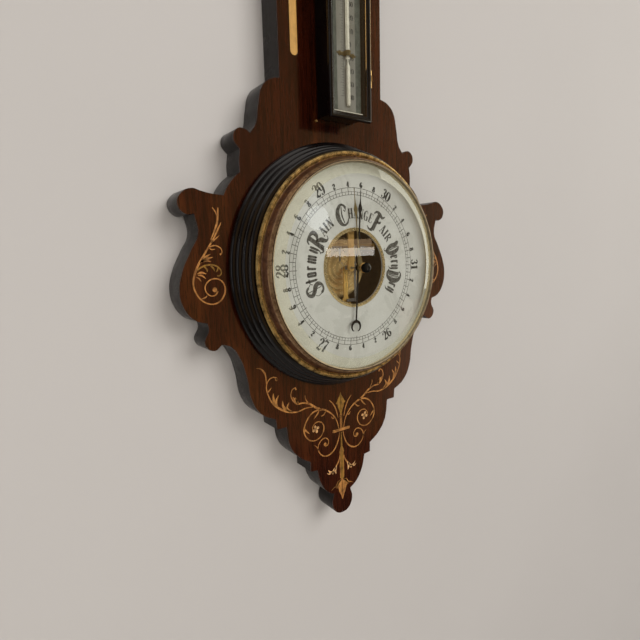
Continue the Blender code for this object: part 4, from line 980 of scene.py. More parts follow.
# Each letter: its advance, then its strokes. Small capitals first, then black letter.
LETTERS = {
    "H": (0.74, [[(0.17, 0, 0.2), (0.17, 1, 0.2)], [(0.57, 0, 0.2), (0.57, 1, 0.2)],
                 [(0.17, 0.52, 0.08), (0.57, 0.52, 0.08)]]
          + serifs((0.17, 0.03), (0.57, 0.03), (0.17, 0.97), (0.57, 0.97))),
    "A": (0.72, [[(0.1, 0, 0.06), (0.33, 1, 0.08)], [(0.33, 1, 0.2), (0.6, 0, 0.22)],
                 [(0.18, 0.32, 0.07), (0.5, 0.32, 0.07)]] + serifs((0.12, 0.03), (0.6, 0.03))),
    "N": (0.76, [[(0.14, 0, 0.08), (0.14, 1, 0.08)], [(0.14, 1, 0.2), (0.6, 0, 0.22)],
                 [(0.6, 0, 0.08), (0.6, 1, 0.08)]] + serifs((0.14, 0.03), (0.14, 0.97), (0.62, 0.97))),
    "G": (0.74, [[(0.58, 0.72, 0.05), (0.5, 0.93, 0.08), (0.32, 0.98, 0.08), (0.14, 0.76, 0.18),
                  (0.11, 0.45, 0.22), (0.19, 0.13, 0.15), (0.36, 0.02, 0.07), (0.52, 0.12, 0.08)],
                 [(0.55, 0, 0.18), (0.55, 0.42, 0.18)]] + serifs((0.52, 0.43))),
    "E": (0.66, [[(0.18, 0, 0.2), (0.18, 1, 0.2)], [(0.1, 0.97, 0.06), (0.56, 0.97, 0.06)],
                 [(0.1, 0.03, 0.06), (0.58, 0.03, 0.06)], [(0.2, 0.52, 0.06), (0.46, 0.52, 0.06)],
                 [(0.56, 0.98, 0.03), (0.56, 0.78, 0.08)], [(0.58, 0.02, 0.03), (0.58, 0.24, 0.08)]]),
    "I": (0.4, [[(0.2, 0, 0.22), (0.2, 1, 0.22)]] + serifs((0.2, 0.03), (0.2, 0.97))),
    "R": (0.72, [[(0.17, 0, 0.2), (0.17, 1, 0.2)],
                 [(0.15, 0.97, 0.06), (0.38, 0.96, 0.08), (0.54, 0.78, 0.18), (0.4, 0.55, 0.08),
                  (0.17, 0.52, 0.06)],
                 [(0.32, 0.53, 0.1), (0.5, 0.28, 0.2), (0.68, 0.04, 0.06)]] + serifs((0.17, 0.03))),
    "t": (0.54, minim(0.26, 0, 1.3) + [[(-0.04, 0.86, 0.1), (0.24, 0.9, 0.2), (0.56, 0.9, 0.14)]]),
    "o": (0.66, minim(0.16) + minim(0.5) + [[(0.12, 0.88, 0.2), (0.34, 0.97, 0.2), (0.54, 0.88, 0.2)],
                                               [(0.12, 0.1, 0.2), (0.34, 0.02, 0.2), (0.54, 0.1, 0.2)]]),
    "r": (0.56, minim(0.16) + [[(0.18, 0.78, 0.05), (0.34, 0.96, 0.14), (0.48, 0.84, 0.2)]]),
    "m": (1.02, minim(0.16) + minim(0.5) + minim(0.84) + [[(0.2, 0.74, 0.05), (0.44, 0.96, 0.08)],
                                                          [(0.54, 0.74, 0.05), (0.78, 0.96, 0.08)]]),
    "y": (0.68, minim(0.16) + minim(0.52) + [[(0.2, 0.06, 0.05), (0.48, 0.2, 0.06)],
                                             [(0.56, 0.12, 0.18), (0.46, -0.22, 0.12), (0.16, -0.4, 0.04)]]),
    "e": (0.58, minim(0.16) + [[(0.14, 0.88, 0.12), (0.42, 0.96, 0.14), (0.46, 0.66, 0.12)],
                               [(0.18, 0.5, 0.05), (0.46, 0.64, 0.06)],
                               [(0.2, 0.04, 0.14), (0.46, 0.16, 0.05)]]),
    "S1": (0.86, [[(0.74, 0.8, 0.12), (0.6, 0.95, 0.12), (0.34, 0.93, 0.15), (0.2, 0.74, 0.2),
                   (0.36, 0.56, 0.22), (0.62, 0.42, 0.24), (0.7, 0.22, 0.2), (0.52, 0.05, 0.13),
                   (0.26, 0.05, 0.11), (0.1, 0.2, 0.14)],
                  [(0.1, 0.2, 0.05), (0.02, 0.4, 0.03), (0.12, 0.56, 0.04)],
                  [(0.46, 0.12, 0.04), (0.46, 0.9, 0.04)],
                  [(0.74, 0.8, 0.05), (0.86, 0.66, 0.03), (0.78, 0.54, 0.05)]]),
    "C1": (0.92, [[(0.8, 0.78, 0.14), (0.66, 0.95, 0.1), (0.42, 0.97, 0.14), (0.18, 0.76, 0.22),
                   (0.12, 0.46, 0.26), (0.24, 0.16, 0.2), (0.46, 0.03, 0.11), (0.7, 0.08, 0.1),
                   (0.86, 0.26, 0.05)],
                  [(0.5, 0.88, 0.05), (0.42, 0.5, 0.09), (0.5, 0.12, 0.05)],
                  [(0.8, 0.78, 0.06), (0.7, 0.64, 0.04), (0.6, 0.74, 0.05)]]),
    "R1": (1.0, [[(0.34, 0.02, 0.24), (0.36, 0.95, 0.2)],
                 [(0.04, 0.8, 0.05), (0.16, 0.95, 0.1), (0.44, 0.98, 0.12), (0.74, 0.9, 0.2),
                  (0.76, 0.68, 0.2), (0.56, 0.53, 0.1), (0.36, 0.53, 0.06)],
                 [(0.5, 0.53, 0.1), (0.7, 0.32, 0.24), (0.82, 0.08, 0.16), (1.0, 0.02, 0.06),
                  (1.12, 0.14, 0.04)],
                 [(0.34, 0.06, 0.14), (0.16, -0.04, 0.09), (0.0, 0.1, 0.04)]]),
    "F1": (0.9, [[(0.42, 0.04, 0.24), (0.46, 0.92, 0.2)],
                 [(0.06, 0.78, 0.05), (0.2, 0.95, 0.12), (0.5, 0.96, 0.16), (0.76, 0.88, 0.14),
                  (0.94, 1.02, 0.05)],
                 [(0.44, 0.52, 0.08), (0.7, 0.56, 0.14), (0.8, 0.68, 0.05)],
                 [(0.56, 0.9, 0.04), (0.54, 0.2, 0.04)],
                 [(0.42, 0.06, 0.18), (0.2, -0.04, 0.11), (-0.08, 0.04, 0.04)]]),
    "V1": (0.96, [[(0.1, 0.84, 0.05), (0.2, 0.96, 0.14), (0.3, 0.78, 0.22), (0.26, 0.4, 0.22),
                   (0.44, 0.06, 0.1)],
                  [(0.44, 0.06, 0.1), (0.68, 0.2, 0.18), (0.82, 0.5, 0.24), (0.76, 0.82, 0.18),
                   (0.56, 0.96, 0.08)],
                  [(0.52, 0.9, 0.05), (0.5, 0.16, 0.05)],
                  [(0.44, 0.06, 0.08), (0.3, -0.06, 0.05), (0.18, 0.04, 0.03)]]),
    "D1": (0.96, [[(0.26, 0.1, 0.2), (0.26, 0.84, 0.18)],
                  [(0.06, 0.84, 0.05), (0.24, 0.97, 0.1), (0.56, 0.94, 0.16), (0.8, 0.72, 0.24),
                   (0.82, 0.36, 0.26), (0.62, 0.08, 0.16), (0.3, 0.03, 0.12), (0.04, 0.12, 0.05)],
                  [(0.48, 0.86, 0.05), (0.46, 0.14, 0.05)], [(0.58, 0.84, 0.03), (0.56, 0.16, 0.03)]]),
}


def dial_place(clock, radius, high, inward=False):
    """Maps a glyph one unit high to the dial, centred on a clock angle in degrees."""
    turn = math.radians(clock)
    flip = -1 if inward else 1

    def place(u, v):
        out = radius + flip * v * high
        along = flip * u * high
        return point(out * math.sin(turn) + along * math.cos(turn),
                     out * math.cos(turn) - along * math.sin(turn), DIAL_FACE)

    return place


def clock_of(inches):
    """The clock angle in degrees of a reading in inches of mercury."""
    return (inches - TOP_INCHES) * DEGREES_PER_INCH


def draw_number(shape, text, clock, middle_r, high, inward=False, weight=1.25):
    """Digits centred on a radius; weight thickens their strokes."""
    place = dial_place(clock, middle_r, high, inward)
    for i, digit in enumerate(text):
        left = (i - len(text) / 2) * DIGIT_WIDTH
        for line in DIGITS[digit]:
            stroke(shape, [(x + left, z - 0.5, width * weight) for x, z, width in line], place, 5)


def draw_letter(shape, letter, clock, foot_r, high, squeeze=1.0):
    advance, lines = LETTERS[letter]
    place = dial_place(clock, foot_r, high)
    for line in lines:
        stroke(shape, [((x - advance / 2) * squeeze, z, width) for x, z, width in line], place, 5)


# The foot radius and the height of letters, then each letter with its clock angle.
SMALL_FOOT, SMALL_HIGH = 48.6, 9.8
INITIAL_FOOT, INITIAL_HIGH = 43.2, 20.5
WORDS = [
    ("S1", 249.0), ("t", 259.0), ("o", 265.2), ("r", 272.0), ("m", 280.6), ("y", 290.2),
    ("R1", 300.2), ("A", 312.6), ("I", 318.6), ("N", 325.0),
    ("C1", 343.2), ("H", 354.0), ("A", 361.2), ("N", 368.6), ("G", 376.0), ("E", 383.0),
    ("F1", 31.6), ("A", 44.4), ("I", 50.2), ("R", 56.4),
    ("V1", 70.0), ("e", 80.0), ("r", 85.8), ("y", 91.4),
    ("D1", 101.6), ("r", 112.0), ("y", 118.2),
]
NARROW_INITIALS = ("V1", "D1")


def ring_mark(shape, radius, width):
    """A thin printed circle."""
    count = 240
    turns = [2 * math.pi * i / count for i in range(count)]
    inner, outer = [[shape.verts.new(point(r * math.sin(turn), r * math.cos(turn), DIAL_FACE))
                     for turn in turns] for r in (radius - width / 2, radius + width / 2)]
    for i in range(count):
        k = (i + 1) % count
        shape.faces.new((inner[i], inner[k], outer[k], outer[i]))


def tick(shape, clock, inner, outer, width):
    """A printed line along a radius."""
    stroke(shape, [(0, 0, width), (0, outer - inner, width)], dial_place(clock, inner, 1))


def build_dial():
    """The opal plate, the ring round its opening, and its print."""
    back = DIAL_FACE - 2
    profile = [(HOLE_R, DIAL_FACE), (DIAL_R, DIAL_FACE), (DIAL_R, back), (HOLE_R, back)]
    turned("dial_opal", profile, OPAL, slot="opal_glass", stands_for=["dial_plate"], steps=192, ease=0.15,
           sharp=20)
    rim = [(HOLE_R - 0.4, DIAL_FACE + 0.3)]
    rim += [(HOLE_R - 0.4 + t, DIAL_FACE + 0.7 + 0.42 * math.sin(math.pi * (0.15 + 0.8 * t / 3.4)))
            for t in (0, 0.4, 0.9, 1.5, 2.1, 2.7, 3.2)] + [(HOLE_R + 3, DIAL_FACE + 0.3)]
    turned("dial_ring_gilt", rim, RING_GILT, slot="gilt_brass", stands_for=["dial_centre_ring"], steps=144)

    def ladder(shape):
        for radius, width in ((RING_IN, 0.5), (RING_MID, 0.42), (RING_OUT, 0.5)):
            ring_mark(shape, radius, width)
        per_turn = 120
        for i in range(per_turn):
            tenth, half_inch = i % 2 == 0, i % 10 == 0
            inner = RING_IN - (1.6 if half_inch else 0)
            outer, width = (RING_OUT, 0.62) if tenth else (RING_MID, 0.5)
            tick(shape, 360 * i / per_turn, inner, outer, width)

    def numerals(shape):
        for inches in range(26, 32):
            clock = clock_of(inches)
            draw_number(shape, str(inches), clock, NUMBER_R, NUMBER_HIGH, inches < 28)
            for tenth in (2, 4, 6, 8):
                small = clock + tenth * DEGREES_PER_INCH / 10
                inward = 115 < small % 360 < 245
                draw_number(shape, str(tenth), small, TENTH_R, TENTH_HIGH, inward, 1.9)

    def words(shape):
        for letter, clock in WORDS:
            if letter.endswith("1"):
                squeeze = 0.66 if letter in NARROW_INITIALS else 0.8
                draw_letter(shape, letter, clock, INITIAL_FOOT, INITIAL_HIGH, squeeze)
            else:
                draw_letter(shape, letter, clock, SMALL_FOOT, SMALL_HIGH, 0.78 if letter.islower() else 0.9)

    mark = 0.05
    flat_piece("dial_ladder", ladder, mark, PRINT_GREY)
    flat_piece("dial_numerals", numerals, mark, PRINT)
    flat_piece("dial_words", words, mark, WORD_PRINT)


# ---------------------------------------------------------------- the movement


def build_movement():
    """What shows through the dial's opening, where the CAD solids are too plain."""
    wall = 1.2
    rim_front = top_of("movement_case")
    floor = height_of(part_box("movement_case")[1].y)
    cup = [(9, floor + wall), (61.8, floor + wall), (61.8, rim_front), (GLASS_R + 1.5, rim_front),
           (GLASS_R + 1.5, rim_front - wall), (63, rim_front - wall), (63, floor), (9, floor)]
    turned("movement_cup", cup, CUP_BRASS, slot="movement_brass", stands_for=["movement_case"], ease=0.5)
    plate_top = top_of("base_plate")
    base = [(3.6, plate_top), (60, plate_top), (60, plate_top - 1.5), (3.6, plate_top - 1.5)]
    turned("movement_plate", base, CUP_BRASS, slot="movement_brass", stands_for=["base_plate"], ease=0.3)

    top = top_of("aneroid_capsule")
    foot = height_of(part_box("aneroid_capsule")[1].y)
    skin = [(0, top), (3, top)]
    ridges, hub, edge = 4, 5, 28.6
    for i in range(ridges * 14 + 1):
        t = i / (ridges * 14)
        swell = math.cos(2 * math.pi * ridges * t) - 1
        skin.append((hub + (edge - hub) * t, top - 1.2 * t + swell))
    middle = -0.1
    skin += [(30.4, top - 2.6), (31.6, middle + 1.2), (32, middle + 0.4), (32, middle - 0.4),
             (31.2, middle - 1), (28, -4.2), (5, -5.2), (4, -5.8), (4, foot), (0, foot)]
    turned("capsule_corrugated", skin, CAPSULE, slot="nickel_silver", stands_for=["aneroid_capsule"],
           closed=False, sharp=50)

    arbor = "hand_arbor"
    low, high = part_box(arbor)
    rear, length = height_of(high.y), (high.y - low.y) / MM
    barrel = [(0, length), (0.9, length), (0.9, 5.2), (2.4, 5), (2.4, 4.6), (1.5, 4.2), (1.5, 1), (2.4, 0.6),
              (2.4, 0.2), (0.9, 0), (0, 0)]
    turned("hand_arbor_turned", barrel, STEEL, "indicator", "steel", [arbor], origin=point(0, 0, rear),
           steps=40, closed=False, ease=0.1)

    coils = []
    turns, inner, outer, wire_r = 3, 3.4, 8.5, 0.16
    count = 180
    height = height_of((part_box("hairspring")[0].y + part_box("hairspring")[1].y) / 2)
    for i in range(count + 1):
        a = 2 * math.pi * turns * i / count
        radius = inner + (outer - inner) * i / count
        coils.append(point(radius * math.cos(a), radius * math.sin(a), height))
    piece("hairspring_coiled", lambda shape: tube(shape, coils, wire_r, 8), BLUED,
          stands_for=["hairspring"])

    path = [(-9, 6.2, 15.2), (-7.5, 3.6, 15.2), (-5, 1.2, 15.0), (-2.4, -1, 14.8)]
    beads = [point(*p) for p in smooth_path(path, 7)]

    def chain(shape):
        for i, (start, end) in enumerate(zip(beads, beads[1:])):
            link(shape, start, end, i % 2)

    piece("chain_linked", chain, STEEL, stands_for=["fusee_chain"])


def tube(shape, path, radius, sides):
    """A round wire along world points; radius in millimetres."""
    rings = []
    last = len(path) - 1
    for i, here in enumerate(path):
        along = (path[min(i + 1, last)] - path[max(i - 1, 0)]).normalized()
        aside = along.cross(Vector((0, 1, 0))).normalized()
        over = along.cross(aside)
        rings.append([shape.verts.new(here + (aside * math.cos(a) + over * math.sin(a)) * radius * MM)
                      for a in (2 * math.pi * k / sides for k in range(sides))])
    for first, second in zip(rings, rings[1:]):
        for k in range(sides):
            n = (k + 1) % sides
            shape.faces.new((first[k], first[n], second[n], second[k]))
    shape.faces.new(rings[0])
    shape.faces.new(rings[-1])


def link(shape, start, end, crossed):
    """One oval chain link between two world points, every other one turned."""
    along = (end - start).normalized()
    aside = Vector((0, 1, 0)) if crossed else along.cross(Vector((0, 1, 0))).normalized()
    half = (end - start).length / 2 + 0.12 * MM
    middle = (start + end) / 2
    loop = [middle + along * half * math.cos(a) + aside * 0.22 * MM * math.sin(a)
            for a in (2 * math.pi * k / 12 for k in range(12))]
    rings = []
    for k, here in enumerate(loop):
        run = (loop[(k + 1) % 12] - loop[k - 1]).normalized()
        out = (here - middle).normalized()
        over = run.cross(out)
        rings.append([shape.verts.new(here + (out * math.cos(a) + over * math.sin(a)) * 0.09 * MM)
                      for a in (2 * math.pi * n / 5 for n in range(5))])
    for k in range(12):
        first, second = rings[k], rings[(k + 1) % 12]
        for n in range(5):
            m = (n + 1) % 5
            shape.faces.new((first[n], first[m], second[m], second[n]))


# ---------------------------------------------------------------- the hands

INDICATOR_TURN, SET_HAND_TURN = 3.7, -4.6


def clockwise(points, degrees):
    """Points turned about the dial's centre, clockwise as seen from the front."""
    c, s = math.cos(math.radians(degrees)), math.sin(math.radians(degrees))
    return [(x * c + z * s, z * c - x * s, *rest) for x, z, *rest in points]


def spear(length, neck, swell_at, swell_half, shaft):
    """The right half of a spear-shaped hand."""
    return [(shaft * 1.4, neck, False), (shaft, 0.45 * swell_at, False), (shaft * 0.8, swell_at - 9, False),
            (swell_half * 0.45, swell_at - 5, False), (swell_half, swell_at, False),
            (swell_half * 0.4, swell_at + 5, False), (0.35, swell_at + 9, False), (0.2, length, True)]


def whole(half):
    """A closed loop from its right half."""
    return half + [(-x, z, c) for x, z, c in reversed(half)]


def build_hands():
    """The blued indicator, and the brass set hand with its spindle, washer and milled knob."""
    level = height_of(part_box("indicator_hand")[1].y) + 2.2
    thick = 0.7
    crescent_z, crescent_r = -58.8, 6.4
    horns = [(x, z, False) for x, z in arc((0, crescent_z), crescent_r, -52, 232, 24)]
    inside = [(x, z, False) for x, z in arc((0, crescent_z - 1.1), crescent_r - 1.9, 238, -58, 22)]
    horns[0] = (*horns[0][:2], True)
    horns[-1] = (*horns[-1][:2], True)
    tail_top = crescent_z + crescent_r - 1.2
    tail = [(-0.8, tail_top, True), (0.8, tail_top, True), (1.2, -2, True), (-1.2, -2, True)]
    hand = plate_mesh([clockwise(whole(spear(75, 3, 58, 2.3, 1.05)), INDICATOR_TURN)], level, thick, 0.12)
    others = [clockwise(loop, INDICATOR_TURN) for loop in (tail, horns + inside)]
    hub = [(0, thick + 0.8), (1.7, thick + 0.8), (1.9, thick + 0.6), (1.9, thick), (3.2, thick),
           (3.4, thick - 0.2), (3.4, 0.15), (3.2, 0), (1.9, 0), (1.9, -2.2), (0, -2.2)]

    def join_all(shape):
        shape.from_mesh(hand)
        for loop in others:
            shape.from_mesh(plate_mesh([loop], level, thick, 0.12))
        lathe(shape, hub, point(0, 0, level), steps=64, closed=False)

    piece("indicator_hand_blued", join_all, BLUED, "indicator", ["indicator_hand"], 22)

    set_level = height_of(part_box("set_hand")[1].y)
    set_thick = 0.6
    set_spear = clockwise(whole(spear(77, 2, 57, 2.2, 0.8)), SET_HAND_TURN)
    set_hub = [(0, set_thick), (3.4, set_thick), (3.6, set_thick - 0.15), (3.6, 0.15), (3.4, 0), (0, 0)]

    def join_set(shape):
        shape.from_mesh(plate_mesh([set_spear], set_level, set_thick, 0.1))
        lathe(shape, set_hub, point(0, 0, set_level), steps=64, closed=False)

    piece("set_hand_spear", join_set, SET_BRASS, "set_hand", ["set_hand"], 22)

    spindle = [(0, 44.6), (1.6, 44.6), (1.6, 35.6), (2.9, 35.5), (2.9, 34.5), (0, 34.5)]
    turned("set_spindle", spindle, BRASS, "set_hand", "movement_brass", ["set_hand_spindle"], 0.15, steps=48,
           closed=False)
    washer = [(1.9, 42.8), (5, 42.7), (5, 42.3), (1.9, 42.3)]
    turned("set_washer", washer, BRASS, "set_hand", "movement_brass", ["knob_washer"], 0.12, steps=64)
    back, top = 43.1, 49.0
    knob = [(0, top - 0.3), (1.6, top - 0.3), (1.9, top), (2.6, top - 0.1), (4.1, top - 0.7),
            (4.7, top - 1.5), (4.7, back + 0.9), (4.2, back), (1.9, back), (1.9, 44.9), (0, 44.9)]
    teeth = 36

    def milled(radius, height, angle):
        return 1 - 0.03 * (math.sin(teeth * angle) > 0) if radius > 4.4 else 1

    turned("set_knob_milled", knob, BLACKENED, "set_hand", "blackened_brass", ["set_hand_knob"], 0.2,
           steps=teeth * 6, closed=False, ripple=milled, sharp=30)


# ---------------------------------------------------------------- the thermometer

DOOR_HALF, DOOR_FOOT, DOOR_HEAD = 25, 142, 406
TUBE_R = 1.9
BULB_R = 2.2


def mitred(shape, half, foot, head, profile):
    """A frame round a rectangle; the profile is (inset, height) with mitred corners."""
    rings = []
    for side, edge, up in ((-1, foot, 1), (1, foot, 1), (1, head, -1), (-1, head, -1)):
        rings.append([shape.verts.new(point(side * (half - inset), edge + up * inset, high))
                      for inset, high in profile])
    count = len(profile)
    for a, b in zip(rings, rings[1:] + rings[:1]):
        for i in range(count):
            k = (i + 1) % count
            shape.faces.new((a[i], a[k], b[k], b[i]))


def build_box():
    """The moulded door with its pull, and the box's foot pin."""
    door_back = height_of(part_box("door_frame")[1].y)
    door_front = top_of("door_frame")
    moulding = [(0, door_back), (0, door_front - 1.4), (0.25, door_front - 0.6), (0.9, door_front - 0.1),
                (1.6, door_front), (2.6, door_front - 0.15), (3.2, door_front - 0.55),
                (3.4, door_front - 0.9), (4.1, door_front - 1.0), (4.7, door_front - 1.25),
                (5, door_front - 1.7), (5, door_back + 2.6), (2.5, door_back + 2.6), (2.5, door_back)]
    piece("door_frame_moulded", lambda shape: mitred(shape, DOOR_HALF, DOOR_FOOT, DOOR_HEAD, moulding),
          BOX_BLACK, "door", ["door_frame"], 40)
    lit_through(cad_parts["door_pane"])

    pull = "door_pull"
    low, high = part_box(pull)
    reach = (high.x - low.x) / MM
    origin = Vector((high.x, (low.y + high.y) / 2, (low.z + high.z) / 2))
    bulb = [(0, reach), (0.8, reach - 0.1), (1.5, reach - 0.4), (2, reach - 1.1), (1.9, reach - 1.6),
            (1.4, reach - 2.2), (0.9, 1.4), (0.95, 0.8), (1.8, 0.2), (1.8, 0), (0, 0)]
    turned("door_pull_turned", bulb, BRASS, "door", "movement_brass", [pull], origin=origin, axis="left",
           steps=40, closed=False, ease=0.1)
    pin = "box_foot_pin"
    low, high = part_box(pin)
    origin = Vector(((low.x + high.x) / 2, high.y, (low.z + high.z) / 2))
    stud = [(0, 2.3), (0.5, 2.2), (0.9, 1.95), (1.15, 1.5), (1.2, 1.2), (1.2, 0), (0, 0)]
    turned("foot_pin_domed", stud, BRASS, slot="movement_brass", stands_for=[pin], origin=origin, steps=32,
           closed=False)


def build_thermometer():
    """The tube with its enamelled back and filled bulb, and the printed scale plate."""
    low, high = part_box("thermometer_tube")
    foot, head = (low.z - CENTRE_Z) / MM, (high.z - CENTRE_Z) / MM
    level = height_of((low.y + high.y) / 2)
    length = head - foot
    axis_at = point(0, foot, level)
    outer = [(0, length), (0.8, length - 0.2), (1.5, length - 0.9), (TUBE_R, length - 2.4), (TUBE_R, 44),
             (BULB_R, 40), (BULB_R, 4), (1.9, 2.4), (1.3, 0.8), (0.6, 0.1), (0, 0)]
    lit_through(turned("thermometer_glass", outer, PANE, slot="clear_glass", stands_for=["thermometer_tube"],
                       origin=axis_at, axis="up", steps=40, closed=False, sharp=60))
    fill_head = length * 0.46
    bore = [(0, fill_head), (0.28, fill_head - 0.3), (0.28, 41), (0.6, 39.4), (1.5, 37), (1.5, 4),
            (1.1, 2.2), (0, 1.6)]
    turned("thermometer_bulb_fill", bore, ENAMEL, origin=axis_at, axis="up", steps=32, closed=False, sharp=60)

    def backing(shape):
        wide = 1.45
        bar(shape, point(-wide, foot + 44, level - 1.0), point(wide, head - 4, level - 0.7), 0.05)

    piece("thermometer_enamel", backing, ENAMEL)
    scale_top = top_of("scale_plate")

    zero, ten_degrees = 213, 12.0
    line, digit_high, digit_left = 0.3, 4.6, 3.6

    def numeral(shape, text, z, place):
        for k, digit in enumerate(text):
            for points in DIGITS[digit]:
                stroke(shape, [(digit_left + (x + k * DIGIT_WIDTH) * digit_high, z - 2.3 + v * digit_high,
                                width * 5.2) for x, v, width in points], place, 5)

    def marks(shape):
        place = on_face(scale_top)
        for i in range(-20, 76):
            z = zero + i * ten_degrees / 5
            stroke(shape, [(-3.4, z, line), (-5.6 - 1.6 * (i % 5 == 0), z, line)], place)
            if i % 5 == 0:
                numeral(shape, str(abs(2 * i)), z, place)
        stroke(shape, [(-3.2, zero - 48, line), (-3.2, zero + 180, line)], place)

    # Dark strips down both sides of the scale plate: painted shade, put where the walls of the plate's recess
    # lie in shadow.
    def margins(shape):
        for side in (-1, 1):
            stroke(shape, [(side * 14.6, 148.4, 6.8), (side * 14.6, 399.6, 6.8)], on_face(scale_top))

    def ledge(shape):
        bar(shape, point(-17.6, 147.6, scale_top + 0.1), point(17.6, 150.4, scale_top + 2.6), 0.3)

    flat_piece("thermometer_painted_shade_strips", margins, 0.04, PAINTED_SHADE_GREY)
    piece("thermometer_ledge", ledge, ENAMEL)
    flat_piece("thermometer_marks", marks, 0.05, PRINT)
    for name in ("lower", "upper"):
        build_clip("tube_clip_" + name, level)


def build_clip(node, level):
    """A pierced brass strap with pointed wings, bowed over the tube."""
    low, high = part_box(node)
    middle = ((low.z + high.z) / 2 - CENTRE_Z) / MM
    foot = height_of(high.y)
    wings = [(12, 0), (9.6, 1.0), (8.2, 2.5), (6.4, 1.4), (4.6, 1.5), (3.2, 2.2)]

    def build(shape):
        turns = [math.radians(t) for t in range(-12, 193, 12)]
        profile = [(x, foot + 0.28, w) for x, w in wings]
        profile += [(2.66 * math.cos(t), level + 0.2 + 2.55 * math.sin(t), 2.4) for t in turns]
        profile += [(-x, foot + 0.28, w) for x, w in reversed(wings)]
        rows = []
        for i, (x, h, w) in enumerate(profile):
            ax, ah = profile[max(i - 1, 0)][:2]
            bx, bh = profile[min(i + 1, len(profile) - 1)][:2]
            run = math.hypot(bx - ax, bh - ah) or 1
            nx, nh = -(bh - ah) / run * 0.14, (bx - ax) / run * 0.14
            w = max(w, 0.15)
            rows.append([shape.verts.new(point(x + out * nx, middle + aside * w, h + out * nh))
                         for out, aside in ((1, 1), (1, -1), (-1, -1), (-1, 1))])
        for a, b in zip(rows, rows[1:]):
            for k in range(4):
                n = (k + 1) % 4
                shape.faces.new((a[k], a[n], b[n], b[k]))
        shape.faces.new(rows[0])
        shape.faces.new(rows[-1])

    piece(node.replace("tube", "strap"), build, SET_BRASS, stands_for=[node])


# ---------------------------------------------------------------- the stage


def quad(name, centre, across, up, look):
    """A flat rectangle for the stage, from its centre and two half sides."""
    centre, across, up = Vector(centre), Vector(across), Vector(up)
    mesh = bpy.data.meshes.new(name)
    spots = [centre - across - up, centre + across - up, centre + across + up, centre - across + up]
    mesh.from_pydata([tuple(p) for p in spots], [], [(0, 1, 2, 3)])
    mesh.materials.append(look)
    made = bpy.data.objects.new(name, mesh)
    bpy.context.scene.collection.objects.link(made)
    return made


def one_sided(look):
    """The wall shows only from the front, so that the back can be seen and lit."""
    tree = look.node_tree
    shader = tree.nodes["Principled BSDF"]
    output = next(n for n in tree.nodes if n.type == "OUTPUT_MATERIAL")
    side = tree.nodes.new("ShaderNodeNewGeometry")
    gone = tree.nodes.new("ShaderNodeBsdfTransparent")
    choose = tree.nodes.new("ShaderNodeMixShader")
    tree.links.new(side.outputs["Backfacing"], choose.inputs[0])
    tree.links.new(shader.outputs[0], choose.inputs[1])
    tree.links.new(gone.outputs[0], choose.inputs[2])
    tree.links.new(choose.outputs[0], output.inputs["Surface"])
    return look


def area_light(kind, name, location, width, height, radiance, colour, shape="RECTANGLE"):
    """A panel that lights matt surfaces, or one that is only mirrored in glass, polish and metal."""
    data = bpy.data.lights.new(name, "AREA")
    data.shape = shape
    data.size = width
    data.size_y = height
    data.energy = radiance * width * height * math.pi
    data.color = colour
    made = bpy.data.objects.new(name, data)
    made.location = location
    made.rotation_euler = (OBJECT_MIDDLE - made.location).to_track_quat("-Z", "Y").to_euler()
    made.visible_camera = False
    made.visible_transmission = False
    made.visible_diffuse = kind == "diffuse"
    made.visible_glossy = kind == "glossy"
    bpy.context.scene.collection.objects.link(made)


OBJECT_MIDDLE = Vector((0, 0, -0.45))
DAYLIGHT, ROOM_LIGHT, WHITE, SKY = (1.0, 0.975, 0.94), (1.0, 0.94, 0.87), (1, 1, 1), (0.88, 0.95, 1.0)

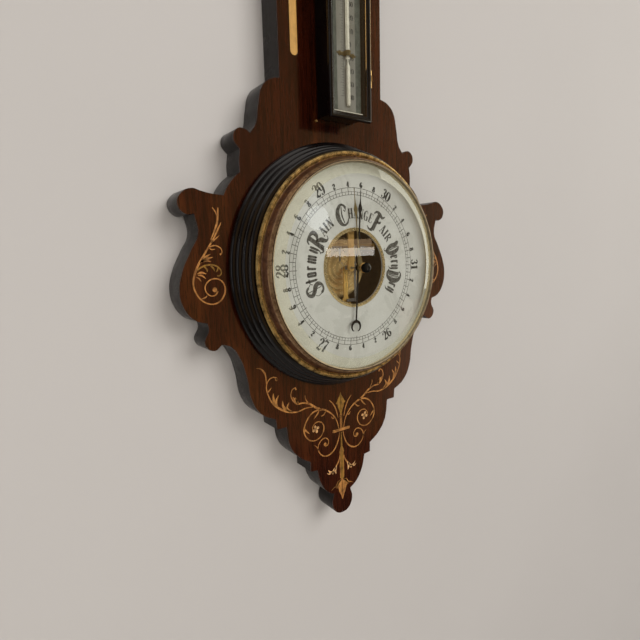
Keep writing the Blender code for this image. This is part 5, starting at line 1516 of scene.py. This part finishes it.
# Each panel: kind, name, place, width, height, radiance, colour.
PANELS = [
    ("diffuse", "window", (2.0, -4.2, 1.9), 3.4, 3.4, 4.5, DAYLIGHT),
    ("diffuse", "fill_front", (-0.8, -4.4, 0.4), 4.0, 3.4, 1.7, ROOM_LIGHT),
    ("diffuse", "fill_left", (-3.6, -2.4, 0.2), 2.6, 3.0, 1.5, ROOM_LIGHT),
    ("diffuse", "behind", (0, 2.4, 0.2), 2.2, 2.2, 2.2, WHITE),
    ("glossy", "behind_mirrored", (0.6, 2.6, 0.8), 1.6, 1.6, 1.2, WHITE),
    ("glossy", "mirrored_room", (1.4, -4.4, -0.3), 7.0, 5.0, 0.30, (1.0, 0.55, 0.17)),
    ("glossy", "mirrored_ceiling", (0, -1.3, 1.7), 3.4, 1.6, 0.95, ROOM_LIGHT),
    ("glossy", "mirrored_left", (-2.4, -1.3, -0.4), 0.42, 1.7, 1.5, (0.9, 0.92, 1.0)),
    ("glossy", "mirrored_right", (2.66, -0.80, 0.12), 1.55, 2.3, 3.0, (1.0, 0.98, 0.82)),
    ("glossy", "mirrored_low", (-0.3, -0.9, -1.8), 2.4, 1.0, 0.25, ROOM_LIGHT),
    ("glossy", "mirrored_sheen", (2.45, -2.0, -1.35), 0.7, 0.9, 0.45, (1.0, 0.6, 0.45)),
    ("glossy", "mirrored_sky", (1.78, -2.7, -0.25), 0.30, 0.28, 0.9, SKY, "ELLIPSE"),
    ("glossy", "mirrored_pane", (1.79, -2.69, -0.27), 0.17, 0.18, 2.4, SKY, "ELLIPSE"),
    ("glossy", "mirrored_shelf", (2.05, -2.62, -0.468), 0.34, 0.065, 2.6, (1.0, 0.66, 0.38)),
    ("glossy", "mirrored_sill", (2.05, -2.62, -0.535), 0.38, 0.065, 7.0, (1.0, 0.94, 0.84)),
]


def build_stage():
    """A plaster wall, a pale floor, and the room's light."""
    wall_paint = plaster("wall_paint", (0.545, 0.527, 0.515), (0.575, 0.557, 0.545))
    wall = quad("wall", (0, 0.0012, -0.4), (4.5, 0, 0), (0, 0, 2.6), one_sided(wall_paint))
    wall.visible_shadow = False
    wall.visible_diffuse = False
    floor_paint = plaster("floor_pale", (0.52, 0.5, 0.47), (0.58, 0.56, 0.53))
    floor = quad("floor", (0, -2.2, -1.85), (4.5, 0, 0), (0, 3.2, 0), floor_paint)
    floor.visible_glossy = False
    for panel in PANELS:
        area_light(*panel)

    world = bpy.data.worlds.new("room")
    world.use_nodes = True
    background = world.node_tree.nodes["Background"]
    background.inputs["Color"].default_value = (0.9, 0.8, 0.7, 1)
    background.inputs["Strength"].default_value = 0.045
    bpy.context.scene.world = world
    bpy.context.scene.view_settings.view_transform = "Standard"


def build_camera():
    """The photograph's view, from the left, level with the dial and tilted slightly down."""
    lens = bpy.data.cameras.new("photo_view")
    lens.lens = 26.13
    lens.sensor_width = 36
    lens.clip_start = 0.01
    camera = bpy.data.objects.new("photo_view", lens)
    camera.location = (-0.3004, -0.4204, -0.5284)
    camera.rotation_euler = [math.radians(a) for a in (81.671, 1.566, -35.318)]
    bpy.context.scene.collection.objects.link(camera)
    bpy.context.scene.camera = camera


for build_part in (build_case, build_back_fittings, build_inlay, build_surround, build_bezel, build_glass,
                   build_dial, build_movement, build_hands, build_box, build_thermometer, build_stage,
                   build_camera):
    build_part()
